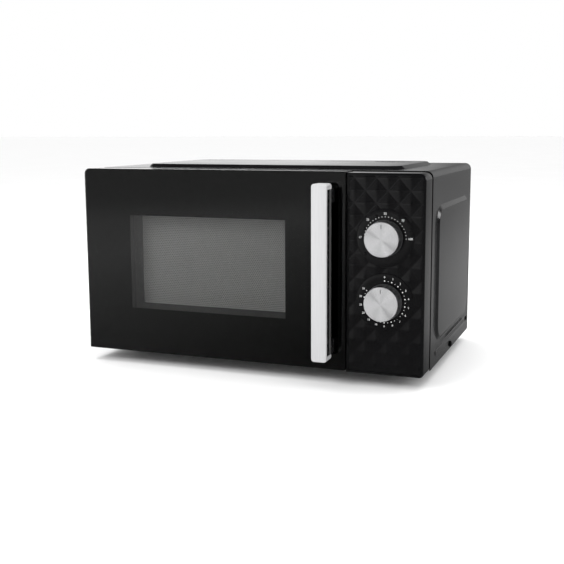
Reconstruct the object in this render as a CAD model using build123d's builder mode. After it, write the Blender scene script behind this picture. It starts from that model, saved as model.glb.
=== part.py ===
"""Compact countertop microwave oven with two dials, modelled as the assembly it is on a bench.

Millimetres. +X is to the right as a person faces the oven, +Y runs from the door towards the wall
behind it and +Z is up. The origin is on the surface that the feet stand on, under the middle of
the whole oven. Depths, called d, are measured backwards from the front face of the door.
"""
import math
import os

from build123d import *

os.makedirs("parts", exist_ok=True)

# ---------------------------------------------------------------- driving dimensions
FRONT_W = 446.0          # width of door and control panel together
FRONT_H = 237.0          # height of the door and panel
FOOT_H = 15.0            # the front hangs this far above the table
CASE_DEPTH = 290.0       # from the door's face to the rear edge of the outer case
HANDLE_PROUD = 32.0      # the handle stands this far out of the door
SPACER_PROUD = 16.0      # the rear spacers stand this far out of the case
TOP_RAISE = 4.0          # height of the pressed panel in the top of the case
SIDE_RAISE = 3.0         # height of the pressed panel in each side of the case
SHEET = 1.0              # chassis sheet steel
CASE_SHEET = 0.8         # outer case and cavity sheet steel
SEAM_X = 129.5           # where door and control panel meet
SEAM_GAP = 0.6
HALF_W = FRONT_W / 2
CASE_TOP = FOOT_H + FRONT_H
FACE_Y = HANDLE_PROUD - (HANDLE_PROUD + CASE_DEPTH + SPACER_PROUD) / 2

# chassis and cavity
FRONT_PLATE_D = (36.0, 37.0)
BACK_PLATE_D = (288.2, 289.2)
BASE_Z = (16.0, 17.0)
CHASSIS_X = (-HALF_W + 1.5, HALF_W - 1.5)
CHASSIS_Z = (BASE_Z[1], CASE_TOP - 1.5)
CAVITY_X = (-206.0, 98.0)
CAVITY_Z = (34.0, 230.0)
CAVITY_D = (FRONT_PLATE_D[1], BACK_PLATE_D[0])

# turntable
TRAY_X = -54.0
TRAY_D = 162.0
TRAY_R = 122.5
DISH_R = 112.0
DISH_DEPTH = 2.0
ROLLER_R = 7.2
ROLLER_TRACK_R = 98.0
ROLLER_GAP = 0.3         # running clearance under and over the rollers

# door
DOOR_X = (-HALF_W, SEAM_X - SEAM_GAP / 2)
DOOR_Z = (FOOT_H + 1.5, CASE_TOP)
DOOR_T = 33.5
DOOR_TOP_CORNER = 7.0
DOOR_CORNER = 1.5
WINDOW_X = (-158.7, 53.1)
WINDOW_Z = (73.6, 193.2)
HINGE_X = -HALF_W + 8.0
HINGE_D = 24.0
HINGE_PIN_R = 2.5
HINGE_TAB_Z = ((30.0, 32.0), (236.0, 238.0))
HINGE_PIN_Z = ((32.0, 40.0), (228.0, 236.0))
HINGE_FIT = 0.3

# handle and latch
HANDLE_X = (97.5, 116.3)
HANDLE_Z = (32.0, 239.2)
HANDLE_DEPTH = 19.0
HANDLE_SCREW_Z = (46.0, 225.2)
LATCH_X = (118.5, 123.5)
HOOK_Z = (70.0, 200.0)
HOOK_ARM_H = 9.0
HOOK_TIP_D = 52.0

# control panel and dials
PANEL_X = (SEAM_X + SEAM_GAP / 2, HALF_W)
PANEL_Z = (FOOT_H, CASE_TOP - 1.2)
PANEL_T = 34.5
DIAL_X = 176.3
POWER_DIAL_Z = FOOT_H + 161.5
TIMER_DIAL_Z = FOOT_H + 87.3
KNOB_R = 20.3
KNOB_PROUD = 18.0
SHAFT_R = 3.0

# cooling fan
FAN_X = 160.0
FAN_Z = 187.0
FAN_R = 43.0
FAN_BLADES = 5


# ---------------------------------------------------------------- helpers
def at_depth(d):
    """The Y of a point d behind the door's face."""
    return FACE_Y + d


def mid(span):
    return (span[0] + span[1]) / 2


def length(span):
    return span[1] - span[0]


def grow(span, by):
    return (span[0] - by, span[1] + by)


def front_plane(d):
    """Upright plane facing the user: local x is X, local y is Z, extrusions come forward."""
    return Plane(origin=(0, at_depth(d), 0), x_dir=(1, 0, 0), z_dir=(0, -1, 0))


def block(x, d, z, mode=Mode.ADD):
    """Box that spans the pairs x, d and z."""
    with Locations((mid(x), at_depth(mid(d)), mid(z))):
        Box(length(x), length(d), length(z), mode=mode)


def tube_wall(x, d, z, wall):
    """Rectangular frame around the depth axis, its wall inside the given outline."""
    block(x, d, z)
    block(grow(x, -wall), grow(d, 1), grow(z, -wall), Mode.SUBTRACT)


def rod(x, z, d, radius, mode=Mode.ADD):
    """Cylinder along the depth axis at (x, z)."""
    with Locations(Location((x, at_depth(mid(d)), z), (90, 0, 0))):
        Cylinder(radius, length(d), mode=mode)


def post(x, d, z, radius, mode=Mode.ADD):
    """Upright cylinder at (x, d) that spans the heights z."""
    with Locations((x, at_depth(d), mid(z))):
        Cylinder(radius, length(z), mode=mode)


def cross_rod(d, z, x, radius, mode=Mode.ADD):
    """Cylinder along X at (d, z) that spans the pair x."""
    with Locations(Location((mid(x), at_depth(d), z), (0, 90, 0))):
        Cylinder(radius, length(x), mode=mode)


def save(piece, name):
    piece.part.label = name
    export_step(piece.part, f"parts/{name}.step")


# ---------------------------------------------------------------- outer case
CASE_FRONT_D = 38.5
CASE_CORNER = 8.0
CASE_FLANGE = 10.0
TOP_PAD_X = (-174.0, 178.0)
TOP_PAD_D = (66.0, 252.0)
SIDE_PAD_D = (62.0, 266.0)
SIDE_PAD_Z = (44.0, 209.0)
SIDE_BEAD_D = (65.0, 262.0)
SIDE_BEAD_Z = (26.5, 33.5)
BEAD_RAISE = 1.2
PAD_CORNER = 22.0
TOP_VENT_W = 5.6
TOP_VENT_PITCH = 7.2
TOP_VENT_LONGEST = 20.0   # the middle slot; the others shorten towards an oval
TOP_VENT_X = 132.0
TOP_VENT_D = 206.0
LEFT_VENT_PITCH = 8.0
LEFT_VENT_D = (190.0, 236.0)
LEFT_VENT_Z = 150.0
SIDE_SCREW_D = 161.0
SIDE_SCREW_Z = 21.0
SIDE_NOTCH_D = (266.0, 283.0)
SIDE_NOTCH_Z = (30.0, 36.0)
REAR_SCREWS = [(x, z) for x in (-217.5, 217.5) for z in (60.0, 200.0)] + [(-120.0, 246.5), (120.0, 246.5)]
SCREW_R = 1.6
SCREW_HOLE_R = 1.9
SCREW_HEAD_R = 3.6
SIDE_HEAD_R = 4.0
SIDE_HEAD_T = 2.6
TOP_VENTS = 7
LEFT_VENTS = 6


def side_pad(side, inset, d_span, z_span, rise, taper, mode):
    """Pressed panel in one side wall: a rounded rectangle that tapers as it rises."""
    wall = Plane(origin=(side * (HALF_W - inset), 0, 0), x_dir=(0, side, 0), z_dir=(side, 0, 0))
    corner = min(PAD_CORNER, length(z_span) / 2 - 0.1)
    with BuildSketch(wall) as outline:
        with Locations((side * at_depth(mid(d_span)), mid(z_span))):
            RectangleRounded(length(d_span) - 2 * inset, length(z_span) - 2 * inset, corner - inset)
    extrude(outline.sketch, amount=rise, taper=taper, mode=mode)


def case_layer(inset, mode):
    """The case's outline drawn in by inset: three walls with their pressed panels."""
    beyond = 1 if inset else 0
    top = CASE_TOP - inset
    bottom = FOOT_H - beyond
    rear = CASE_DEPTH - inset
    with BuildSketch(front_plane(rear)) as profile:
        with Locations((0, mid((bottom, top)))):
            Rectangle(FRONT_W - 2 * inset, top - bottom)
        fillet(profile.vertices().group_by(Axis.Y)[-1], CASE_CORNER - inset)
    extrude(profile.sketch, amount=rear - CASE_FRONT_D + beyond, mode=mode)
    with BuildSketch(Plane.XY.offset(top)) as pad:
        with Locations((mid(TOP_PAD_X), at_depth(mid(TOP_PAD_D)))):
            RectangleRounded(length(TOP_PAD_X) - 2 * inset, length(TOP_PAD_D) - 2 * inset, PAD_CORNER)
    extrude(pad.sketch, amount=TOP_RAISE, taper=45, mode=mode)
    for side in (1, -1):
        side_pad(side, inset, SIDE_PAD_D, SIDE_PAD_Z, SIDE_RAISE, 60, mode)
        side_pad(side, inset, SIDE_BEAD_D, SIDE_BEAD_Z, BEAD_RAISE, 50, mode)


with BuildPart() as outer_case:
    case_layer(0, Mode.ADD)
    case_layer(CASE_SHEET, Mode.SUBTRACT)
    inner_x = (-HALF_W + CASE_FLANGE, HALF_W - CASE_FLANGE)
    block(inner_x, (CASE_DEPTH - 2, CASE_DEPTH + 1), (FOOT_H - 1, CASE_TOP - CASE_FLANGE), Mode.SUBTRACT)
    for column in range(TOP_VENTS):
        place = column - (TOP_VENTS - 1) / 2
        slot_length = TOP_VENT_LONGEST * math.sqrt(1 - (2 * place / (TOP_VENTS + 1)) ** 2)
        with Locations((TOP_VENT_X + place * TOP_VENT_PITCH, at_depth(TOP_VENT_D), CASE_TOP)):
            Box(TOP_VENT_W, slot_length, 4 * TOP_RAISE, mode=Mode.SUBTRACT)
    for row in range(LEFT_VENTS):
        slot_z = LEFT_VENT_Z + row * LEFT_VENT_PITCH
        block(grow((-HALF_W, -HALF_W), 2 * SIDE_RAISE), LEFT_VENT_D, (slot_z, slot_z + 3), Mode.SUBTRACT)
    for screw_x, screw_z in REAR_SCREWS:
        rod(screw_x, screw_z, (CASE_DEPTH - 2, CASE_DEPTH + 1), SCREW_HOLE_R, Mode.SUBTRACT)
    cross_rod(SIDE_SCREW_D, SIDE_SCREW_Z, grow((-HALF_W, HALF_W), 2), SCREW_HOLE_R, Mode.SUBTRACT)
    block((HALF_W - 4, HALF_W + 4), SIDE_NOTCH_D, SIDE_NOTCH_Z, Mode.SUBTRACT)
save(outer_case, "outer_case")


# ---------------------------------------------------------------- chassis
PANEL_BAY_X = (140.0, 214.0)
PANEL_BAY_Z = (62.0, 234.0)
LATCH_SLOT_X = (116.5, 125.5)
LIP_D = (37.0, 50.0)
FLANGE_H = 12.0
SLOT_ROOM = (7.0, 15.0)  # how far a latch slot reaches below and above the foot of its hook
BASE_VENT_AT = (163.0, 122.0)
BASE_VENTS = 7

with BuildPart() as front_plate:
    block(CHASSIS_X, FRONT_PLATE_D, CHASSIS_Z)
    block(CAVITY_X, grow(FRONT_PLATE_D, 1), CAVITY_Z, Mode.SUBTRACT)
    block(PANEL_BAY_X, grow(FRONT_PLATE_D, 1), PANEL_BAY_Z, Mode.SUBTRACT)
    for hook in HOOK_Z:
        slot_z = (hook - SLOT_ROOM[0], hook + SLOT_ROOM[1])
        block(LATCH_SLOT_X, grow(FRONT_PLATE_D, 1), slot_z, Mode.SUBTRACT)
    for tab in HINGE_TAB_Z:
        block((HINGE_X - 5.2, HINGE_X + 5.2), grow(FRONT_PLATE_D, 1), grow(tab, 0.5), Mode.SUBTRACT)
    fillet(front_plate.edges().filter_by(Axis.Y).group_by(Axis.Z)[-1], CASE_CORNER - 1)
    lip_z = (CHASSIS_Z[0], CHASSIS_Z[1] - CASE_CORNER)
    block((CHASSIS_X[0], CHASSIS_X[0] + SHEET), LIP_D, lip_z)
    block((CHASSIS_X[1] - SHEET, CHASSIS_X[1]), LIP_D, lip_z)
    block(grow(CHASSIS_X, -CASE_CORNER), LIP_D, (CHASSIS_Z[1] - SHEET, CHASSIS_Z[1]))
save(front_plate, "front_plate")

with BuildPart() as base_plate:
    block(CHASSIS_X, (FRONT_PLATE_D[0], BACK_PLATE_D[1]), BASE_Z)
    for wall_x in (CHASSIS_X[0] + SHEET / 2, CHASSIS_X[1] - SHEET / 2):
        flange_x = grow((wall_x, wall_x), SHEET / 2)
        block(flange_x, (LIP_D[1] + 1, BACK_PLATE_D[0]), (BASE_Z[1], BASE_Z[1] + FLANGE_H))
    cross_rod(SIDE_SCREW_D, SIDE_SCREW_Z, grow(CHASSIS_X, 1), SCREW_HOLE_R, Mode.SUBTRACT)
    with Locations((BASE_VENT_AT[0], at_depth(BASE_VENT_AT[1]), mid(BASE_Z))):
        with GridLocations(10, 0, BASE_VENTS, 1):
            Box(4, 40, 3, mode=Mode.SUBTRACT)
save(base_plate, "base_plate")

GLAND_X = 190.0
GLAND_Z = 34.0
GLAND_R = 8.8
GRILLE_PITCH = 9.0
GRILLE_SLOT = 4.4

with BuildPart() as back_plate:
    block(CHASSIS_X, BACK_PLATE_D, CHASSIS_Z)
    fillet(back_plate.edges().filter_by(Axis.Y).group_by(Axis.Z)[-1], CASE_CORNER - 1)
    for screw_x, screw_z in REAR_SCREWS:
        rod(screw_x, screw_z, grow(BACK_PLATE_D, 1), SCREW_HOLE_R, Mode.SUBTRACT)
    rod(GLAND_X, GLAND_Z, grow(BACK_PLATE_D, 1), GLAND_R, Mode.SUBTRACT)
    for row in range(-4, 5):
        slot_z = FAN_Z + row * GRILLE_PITCH
        half = (FAN_R**2 - (row * GRILLE_PITCH) ** 2) ** 0.5
        slot_span = grow((slot_z, slot_z), GRILLE_SLOT / 2)
        block((FAN_X - half, FAN_X + half), grow(BACK_PLATE_D, 1), slot_span, Mode.SUBTRACT)
save(back_plate, "back_plate")

LIGHT_HOLES = (231.0, 205.0)   # depth and height of the middle of the lamp's holes
LIGHT_HOLE_R = 1.5
LIGHT_PITCH = 5.0
OUTLET_HOLES = (211.0, 175.0)   # the same for the air outlet in the left wall
FEED_D = (135.0, 192.0)
FEED_Z = (145.0, 190.0)

with BuildPart() as cavity_liner:
    block(grow(CAVITY_X, CASE_SHEET), CAVITY_D, (CAVITY_Z[0] - SHEET, CAVITY_Z[1] + CASE_SHEET))
    block(CAVITY_X, grow(CAVITY_D, 1), (CAVITY_Z[0] - 2 * SHEET, CAVITY_Z[1]), Mode.SUBTRACT)
    block(grow((CAVITY_X[1], CAVITY_X[1]), 2), FEED_D, FEED_Z, Mode.SUBTRACT)
    for row in range(4):
        for column in range(4):
            for wall_x, (hole_d, hole_z) in ((CAVITY_X[1], LIGHT_HOLES), (CAVITY_X[0], OUTLET_HOLES)):
                hole_d += (column - 1.5) * LIGHT_PITCH
                hole_z += (row - 1.5) * LIGHT_PITCH
                cross_rod(hole_d, hole_z, grow((wall_x, wall_x), 2), LIGHT_HOLE_R, Mode.SUBTRACT)
save(cavity_liner, "cavity_liner")

DISH_Z = CAVITY_Z[0] - DISH_DEPTH
MOTOR_BORE_R = 3.5

with BuildPart() as cavity_floor:
    block(CAVITY_X, CAVITY_D, (CAVITY_Z[0] - SHEET, CAVITY_Z[0]))
    post(TRAY_X, TRAY_D, (DISH_Z - SHEET, CAVITY_Z[0] - SHEET), DISH_R + SHEET)
    post(TRAY_X, TRAY_D, (DISH_Z, CAVITY_Z[0] + 1), DISH_R, Mode.SUBTRACT)
    post(TRAY_X, TRAY_D, (DISH_Z - 2, DISH_Z + 1), 2 * MOTOR_BORE_R, Mode.SUBTRACT)
save(cavity_floor, "cavity_floor")

FOOT_X = 185.0
FOOT_D = (74.0, 256.0)
FOOT_R = (13.0, 15.0)

with BuildPart() as feet:
    with Locations(*[(x, at_depth(d), BASE_Z[0] / 2) for x in (-FOOT_X, FOOT_X) for d in FOOT_D]):
        Cone(bottom_radius=FOOT_R[0], top_radius=FOOT_R[1], height=BASE_Z[0])
    chamfer(feet.edges().group_by(Axis.Z)[0], 1.2)
save(feet, "feet")

SPACER_X = 150.0
SPACER_Z = 226.0
SPACER_R = 11.0

with BuildPart() as rear_spacers:
    for spacer_x in (-SPACER_X, SPACER_X):
        rod(spacer_x, SPACER_Z, (BACK_PLATE_D[1], CASE_DEPTH + SPACER_PROUD), SPACER_R)
    chamfer(rear_spacers.edges().group_by(Axis.Y)[-1], 2)
save(rear_spacers, "rear_spacers")

with BuildPart() as case_screws:
    for screw_x, screw_z in REAR_SCREWS:
        rod(screw_x, screw_z, (CASE_DEPTH - 4, CASE_DEPTH), SCREW_R)
        rod(screw_x, screw_z, (CASE_DEPTH, CASE_DEPTH + 2.2), SCREW_HEAD_R)
    for side in (-1, 1):
        shank = sorted((side * (HALF_W - 4), side * HALF_W))
        head = sorted((side * HALF_W, side * (HALF_W + SIDE_HEAD_T)))
        cross_rod(SIDE_SCREW_D, SIDE_SCREW_Z, shank, SCREW_R)
        cross_rod(SIDE_SCREW_D, SIDE_SCREW_Z, head, SIDE_HEAD_R)
save(case_screws, "case_screws")

HINGE_FOOT_X = (-220.0, -209.0)
HINGE_FOOT_Z = ((20.0, 46.0), (222.0, 246.0))
HINGE_TAB_R = 4.5

with BuildPart() as hinge_brackets:
    for tab, pin, foot in zip(HINGE_TAB_Z, HINGE_PIN_Z, HINGE_FOOT_Z):
        block(HINGE_FOOT_X, (FRONT_PLATE_D[1], FRONT_PLATE_D[1] + 1.5), foot)
        block((HINGE_X - HINGE_TAB_R, HINGE_X + HINGE_TAB_R), (HINGE_D, FRONT_PLATE_D[1]), tab)
        post(HINGE_X, HINGE_D, tab, HINGE_TAB_R)
        post(HINGE_X, HINGE_D, pin, HINGE_PIN_R)
save(hinge_brackets, "hinge_brackets")


# ---------------------------------------------------------------- microwave supply
ANTENNA_D = 136.0
ANTENNA_Z = 182.5
YOKE_X = (133.0, 180.0)
YOKE_D = (100.0, 172.0)
YOKE_Z = (150.0, 215.0)
GUIDE_X = (CAVITY_X[1] + CASE_SHEET, 130.0)
GUIDE_D = (110.0, 205.0)
GUIDE_Z = (138.0, 222.0)
ANTENNA_R = 7.5
MAGNET_T = 7.0
FILTER_D = (108.0, 164.0)
FILTER_Z = (153.0, 212.0)
FILTER_END_X = 211.0
FIN_PITCH = 4.6

with BuildPart() as waveguide:
    block(GUIDE_X, GUIDE_D, GUIDE_Z)
    inside_x = (GUIDE_X[0] - 1, GUIDE_X[1] - SHEET)
    block(inside_x, grow(GUIDE_D, -SHEET), grow(GUIDE_Z, -SHEET), Mode.SUBTRACT)
    cross_rod(ANTENNA_D, ANTENNA_Z, grow((GUIDE_X[1], GUIDE_X[1]), 3), ANTENNA_R + 4.5, Mode.SUBTRACT)
save(waveguide, "waveguide")

with BuildPart() as waveguide_cover:
    block((CAVITY_X[1] - 0.6, CAVITY_X[1]), grow(FEED_D, 6), grow(FEED_Z, 6))
    fillet(waveguide_cover.edges().filter_by(Axis.X), 5)
save(waveguide_cover, "waveguide_cover")

with BuildPart() as magnetron_yoke:
    tube_wall(YOKE_X, YOKE_D, YOKE_Z, 2)
    cross_rod(ANTENNA_D, ANTENNA_Z, (YOKE_X[0] - 3, YOKE_X[0]), 14)
    cross_rod(ANTENNA_D, ANTENNA_Z, (YOKE_X[0] - 24, YOKE_X[0] - 3), ANTENNA_R)
save(magnetron_yoke, "magnetron_yoke")

with BuildPart() as magnetron_magnets:
    for first_x in (YOKE_X[0] + 2, YOKE_X[1] - 2 - MAGNET_T):
        magnet_x = (first_x, first_x + MAGNET_T)
        cross_rod(ANTENNA_D, ANTENNA_Z, magnet_x, 26)
        cross_rod(ANTENNA_D, ANTENNA_Z, grow(magnet_x, 1), 9, Mode.SUBTRACT)
save(magnetron_magnets, "magnetron_magnets")

with BuildPart() as magnetron_fins:
    cross_rod(ANTENNA_D, ANTENNA_Z, (YOKE_X[0] + 9, YOKE_X[1] - 9), 19)
    for fin in range(6):
        fin_x = YOKE_X[0] + 11.5 + fin * FIN_PITCH
        block((fin_x, fin_x + 1), grow(YOKE_D, -3), grow(YOKE_Z, -2.5))
save(magnetron_fins, "magnetron_fins")

with BuildPart() as magnetron_filter_box:
    filter_x = (YOKE_X[1], FILTER_END_X)
    block(filter_x, FILTER_D, FILTER_Z)
    block(grow(filter_x, -SHEET), grow(FILTER_D, -SHEET), grow(FILTER_Z, -SHEET), Mode.SUBTRACT)
    block((190, 202), (FILTER_D[1], FILTER_D[1] + 8), (170, 186))
save(magnetron_filter_box, "magnetron_filter_box")

CORE_X = (122.0, 200.0)
CORE_D = (95.0, 150.0)
CORE_Z = (18.0, 90.0)
CORE_WINDOWS = ((134.0, 147.0), (175.0, 188.0))
WINDOW_SPAN_Z = (30.0, 78.0)
COIL_Z = ((31.0, 52.0), (55.0, 77.0))

with BuildPart() as transformer_core:
    block(CORE_X, CORE_D, CORE_Z)
    for window in CORE_WINDOWS:
        block(window, grow(CORE_D, 1), WINDOW_SPAN_Z, Mode.SUBTRACT)
    block(grow(CORE_X, 7), grow(CORE_D, 7), (BASE_Z[1], CORE_Z[0]))
save(transformer_core, "transformer_core")

with BuildPart() as transformer_windings:
    for coil_z in COIL_Z:
        block((CORE_WINDOWS[0][0] + 0.6, CORE_WINDOWS[1][1] - 0.6), grow(CORE_D, 12), coil_z)
    fillet(transformer_windings.edges().filter_by(Axis.Z), 8)
    inner_leg = (CORE_WINDOWS[0][1] - 0.2, CORE_WINDOWS[1][0] + 0.2)
    block(inner_leg, grow(CORE_D, 0.2), WINDOW_SPAN_Z, Mode.SUBTRACT)
save(transformer_windings, "transformer_windings")

CAN_X = 134.0
CAN_D = 206.0
CAN_Z = (20.0, 92.0)
CAN_SIZE = (52.0, 32.0)
CLAMP_T = 1.0
CLAMP_H = 14.0
CLAMP_LEG_D = (200.0, 212.0)

with BuildPart() as hv_capacitor:
    with BuildSketch(Plane.XY.offset(CAN_Z[0])):
        with Locations((CAN_X, at_depth(CAN_D))):
            SlotOverall(*CAN_SIZE)
    extrude(amount=length(CAN_Z))
    fillet(hv_capacitor.edges().group_by(Axis.Z)[0], 1.5)
    for terminal_x in (CAN_X - 11, CAN_X + 11):
        post(terminal_x, CAN_D, (CAN_Z[1], CAN_Z[1] + 10), 3)
save(hv_capacitor, "hv_capacitor")

with BuildPart() as capacitor_clamp:
    with BuildSketch(Plane.XY.offset(46)):
        with Locations((CAN_X, at_depth(CAN_D))):
            SlotOverall(CAN_SIZE[0] + 2 * CLAMP_T, CAN_SIZE[1] + 2 * CLAMP_T)
            SlotOverall(*CAN_SIZE, mode=Mode.SUBTRACT)
    extrude(amount=CLAMP_H)
    leg_x = CAN_X + CAN_SIZE[0] / 2 + 0.6
    block((leg_x, leg_x + 1.4), CLAMP_LEG_D, (BASE_Z[1], 46 + CLAMP_H))
    block((leg_x, leg_x + 15.4), CLAMP_LEG_D, (BASE_Z[1], BASE_Z[1] + 1.4))
save(capacitor_clamp, "capacitor_clamp")

DIODE_AT = (226.0, 30.0)

with BuildPart() as hv_diode:
    cross_rod(*DIODE_AT, (164, 190), 4.2)
    cross_rod(*DIODE_AT, (150, 204), 1)
    block((150, 153), (223, 229), (BASE_Z[1], 34))
save(hv_diode, "hv_diode")

with BuildPart() as thermostats:
    post(156, ANTENNA_D, (YOKE_Z[1], YOKE_Z[1] + 7), 8)
    post(-60, 160, (CAVITY_Z[1] + CASE_SHEET, CAVITY_Z[1] + 8), 8)
save(thermostats, "thermostats")

BOARD_X = (125.0, 205.0)
BOARD_Z = (50.0, 120.0)
BOARD_D = (272.0, 273.6)
BOARD_PART_D = (256.0, BOARD_D[0])

with BuildPart() as noise_filter_board:
    block(BOARD_X, BOARD_D, BOARD_Z)
    block((132, 158), BOARD_PART_D, (90, 112))
    rod(184, 100, BOARD_PART_D, 12)
    rod(184, 100, grow(BOARD_PART_D, 1), 5, Mode.SUBTRACT)
    block(BOARD_X, BOARD_D, BOARD_Z)
    cross_rod(266, 62, (135, 160), 3.2)
    for clip_x in (134, 157):
        block((clip_x, clip_x + 4), (266, BOARD_D[0]), (59, 65))
    for standoff_x in grow(BOARD_X, -4):
        for standoff_z in grow(BOARD_Z, -4):
            rod(standoff_x, standoff_z, (BOARD_D[1], BACK_PLATE_D[0]), 3)
save(noise_filter_board, "noise_filter_board")

GLAND_BORE_R = 4.2
GLAND_D = (284.0, 294.0)

with BuildPart() as cord_gland:
    rod(GLAND_X, GLAND_Z, GLAND_D, GLAND_R)
    rod(GLAND_X, GLAND_Z, (BACK_PLATE_D[1], GLAND_D[1]), 12)
    rod(GLAND_X, GLAND_Z, (GLAND_D[0], BACK_PLATE_D[0]), 10.4)
    chamfer(cord_gland.edges().group_by(Axis.Y)[-1], 1.5)
    rod(GLAND_X, GLAND_Z, grow(GLAND_D, 1), GLAND_BORE_R, Mode.SUBTRACT)
save(cord_gland, "cord_gland")


# ---------------------------------------------------------------- fan and lamp
SHROUD_HALF = 48.0
SHROUD_D = (262.0, BACK_PLATE_D[0])
STATOR_D = (240.0, 254.0)
FAN_SHAFT_R = 2.0
FAN_HUB_R = 9.0
FAN_HUB_D = (266.0, 282.0)

with BuildPart() as fan_shroud:
    block(grow((FAN_X, FAN_X), SHROUD_HALF), SHROUD_D, grow((FAN_Z, FAN_Z), SHROUD_HALF))
    rod(FAN_X, FAN_Z, grow(SHROUD_D, 1), FAN_R + 3, Mode.SUBTRACT)
    for bar_z in (FAN_Z - 18, FAN_Z + 18):
        block(grow((FAN_X, FAN_X), SHROUD_HALF), (STATOR_D[1], SHROUD_D[0]), (bar_z - 3, bar_z + 3))
save(fan_shroud, "fan_shroud")

with BuildPart() as fan_motor:
    block(grow((FAN_X, FAN_X), 24), STATOR_D, grow((FAN_Z, FAN_Z), 24))
    block((FAN_X - 15, FAN_X + 15), (STATOR_D[0] - 6, STATOR_D[0]), (FAN_Z - 24, FAN_Z - 14))
    rod(FAN_X, FAN_Z, (STATOR_D[0] - 8, STATOR_D[0]), 9)
    rod(FAN_X, FAN_Z, (STATOR_D[0] - 9, STATOR_D[1] + 1), FAN_SHAFT_R + 0.4, Mode.SUBTRACT)
save(fan_motor, "fan_motor")

with BuildPart() as fan_blade:
    rod(FAN_X, FAN_Z, FAN_HUB_D, FAN_HUB_R)
    rod(FAN_X, FAN_Z, (STATOR_D[0] - 6, FAN_HUB_D[0]), FAN_SHAFT_R)
    blade_length = FAN_R - 10
    for turn in range(FAN_BLADES):
        around = Location((FAN_X, at_depth(mid(FAN_HUB_D)), FAN_Z), (0, turn * 360 / FAN_BLADES, 0))
        with Locations(around * Location((FAN_HUB_R - 1 + blade_length / 2, 0, 0), (35, 0, 0))):
            Box(blade_length, 18, 1.4)
save(fan_blade, "fan_blade")

LAMP_AT = (109.5, at_depth(LIGHT_HOLES[0]), LIGHT_HOLES[1])
LAMP_R = 9.0
LAMP_NECK_R = 5.2
LAMP_END_X = 134.0

with BuildPart() as lamp_holder:
    block((GUIDE_X[0], LAMP_END_X), (243, 244.5), (194, 218))
    block((LAMP_AT[0] + 7.5, LAMP_END_X), (221, 243), (196, 214))
    cross_rod(*LIGHT_HOLES, (LAMP_AT[0] + 6.5, LAMP_AT[0] + 14.5), LAMP_NECK_R + 0.2, Mode.SUBTRACT)
save(lamp_holder, "lamp_holder")

with BuildPart() as lamp_bulb:
    with BuildSketch(Plane(origin=LAMP_AT, x_dir=(1, 0, 0), z_dir=(0, -1, 0))):
        Circle(LAMP_R)
        with Locations((7, 0)):
            Rectangle(14, 2 * LAMP_NECK_R)
        with Locations((0, -15)):
            Rectangle(60, 30, mode=Mode.SUBTRACT)
    revolve(axis=Axis(LAMP_AT, (1, 0, 0)))
save(lamp_bulb, "lamp_bulb")


# ---------------------------------------------------------------- turntable
AXLE_Z = DISH_Z + ROLLER_GAP + ROLLER_R
TRAY_Z = AXLE_Z + ROLLER_R + ROLLER_GAP
AXLE_R = 1.8
ROLLER_W = 6.0
MOTOR_R = 24.5
MOTOR_TOP_Z = DISH_Z - SHEET - 0.2
HUB_R = 8.0
STUD_R = 3.0
TRAY_T = 4.6

with BuildPart() as turntable_motor:
    post(TRAY_X, TRAY_D, (BASE_Z[1], MOTOR_TOP_Z), MOTOR_R)
    block(grow((TRAY_X, TRAY_X), 32), grow((TRAY_D, TRAY_D), 6), (MOTOR_TOP_Z - 1.2, MOTOR_TOP_Z))
    post(TRAY_X, TRAY_D, (BASE_Z[1] + 3, DISH_Z), MOTOR_BORE_R, Mode.SUBTRACT)
save(turntable_motor, "turntable_motor")

with BuildPart() as turntable_coupler:
    post(TRAY_X, TRAY_D, (BASE_Z[1] + 4, TRAY_Z - 1), SHAFT_R)
    post(TRAY_X, TRAY_D, (DISH_Z + 2, TRAY_Z - 0.5), HUB_R)
    for turn in range(3):
        lobe = Location((TRAY_X, at_depth(TRAY_D), TRAY_Z - 3.5), (0, 0, turn * 120))
        with Locations(lobe * Location((11, 0, 0))):
            Box(18, 7, 6)
    fillet(turntable_coupler.edges().filter_by(Axis.Z), 1)
save(turntable_coupler, "turntable_coupler")

with BuildPart() as glass_tray:
    with BuildSketch(Plane.XZ):
        with BuildLine():
            rim = ((121, 6), (TRAY_R, 7.8), (TRAY_R - 1.2, 9.4))
            Polyline((0, 0), (104, 0), *rim, (103, TRAY_T), (0, TRAY_T), close=True)
        make_face()
    revolve(axis=Axis.Z)
    for turn in range(3):
        with Locations(Location((0, 0, 0), (0, 0, 60 + turn * 120)) * Location((14, 0, -2.2))):
            Cylinder(STUD_R, 4.6)
glass_tray.part.position = (TRAY_X, at_depth(TRAY_D), TRAY_Z)
save(glass_tray, "glass_tray")

RING_R = (86.0, 92.0)

with BuildPart() as roller_ring:
    post(TRAY_X, TRAY_D, (AXLE_Z - 2.5, AXLE_Z + 2.5), RING_R[1])
    post(TRAY_X, TRAY_D, (AXLE_Z - 4, AXLE_Z + 4), RING_R[0], Mode.SUBTRACT)
    for turn in range(3):
        around = Location((TRAY_X, at_depth(TRAY_D), AXLE_Z), (0, 0, turn * 120))
        with Locations(around * Location((RING_R[1] + 5, 0, 0), (0, 90, 0))):
            Cylinder(AXLE_R, 12)
save(roller_ring, "roller_ring")

for turn, letter in enumerate("abc"):
    around = Location((TRAY_X, at_depth(TRAY_D), AXLE_Z), (0, 0, turn * 120))
    with BuildPart() as roller:
        with Locations(around * Location((ROLLER_TRACK_R, 0, 0), (0, 90, 0))):
            Cylinder(ROLLER_R, ROLLER_W)
            Cylinder(AXLE_R + ROLLER_GAP, ROLLER_W + 2, mode=Mode.SUBTRACT)
    save(roller, f"roller_{letter}")


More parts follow.
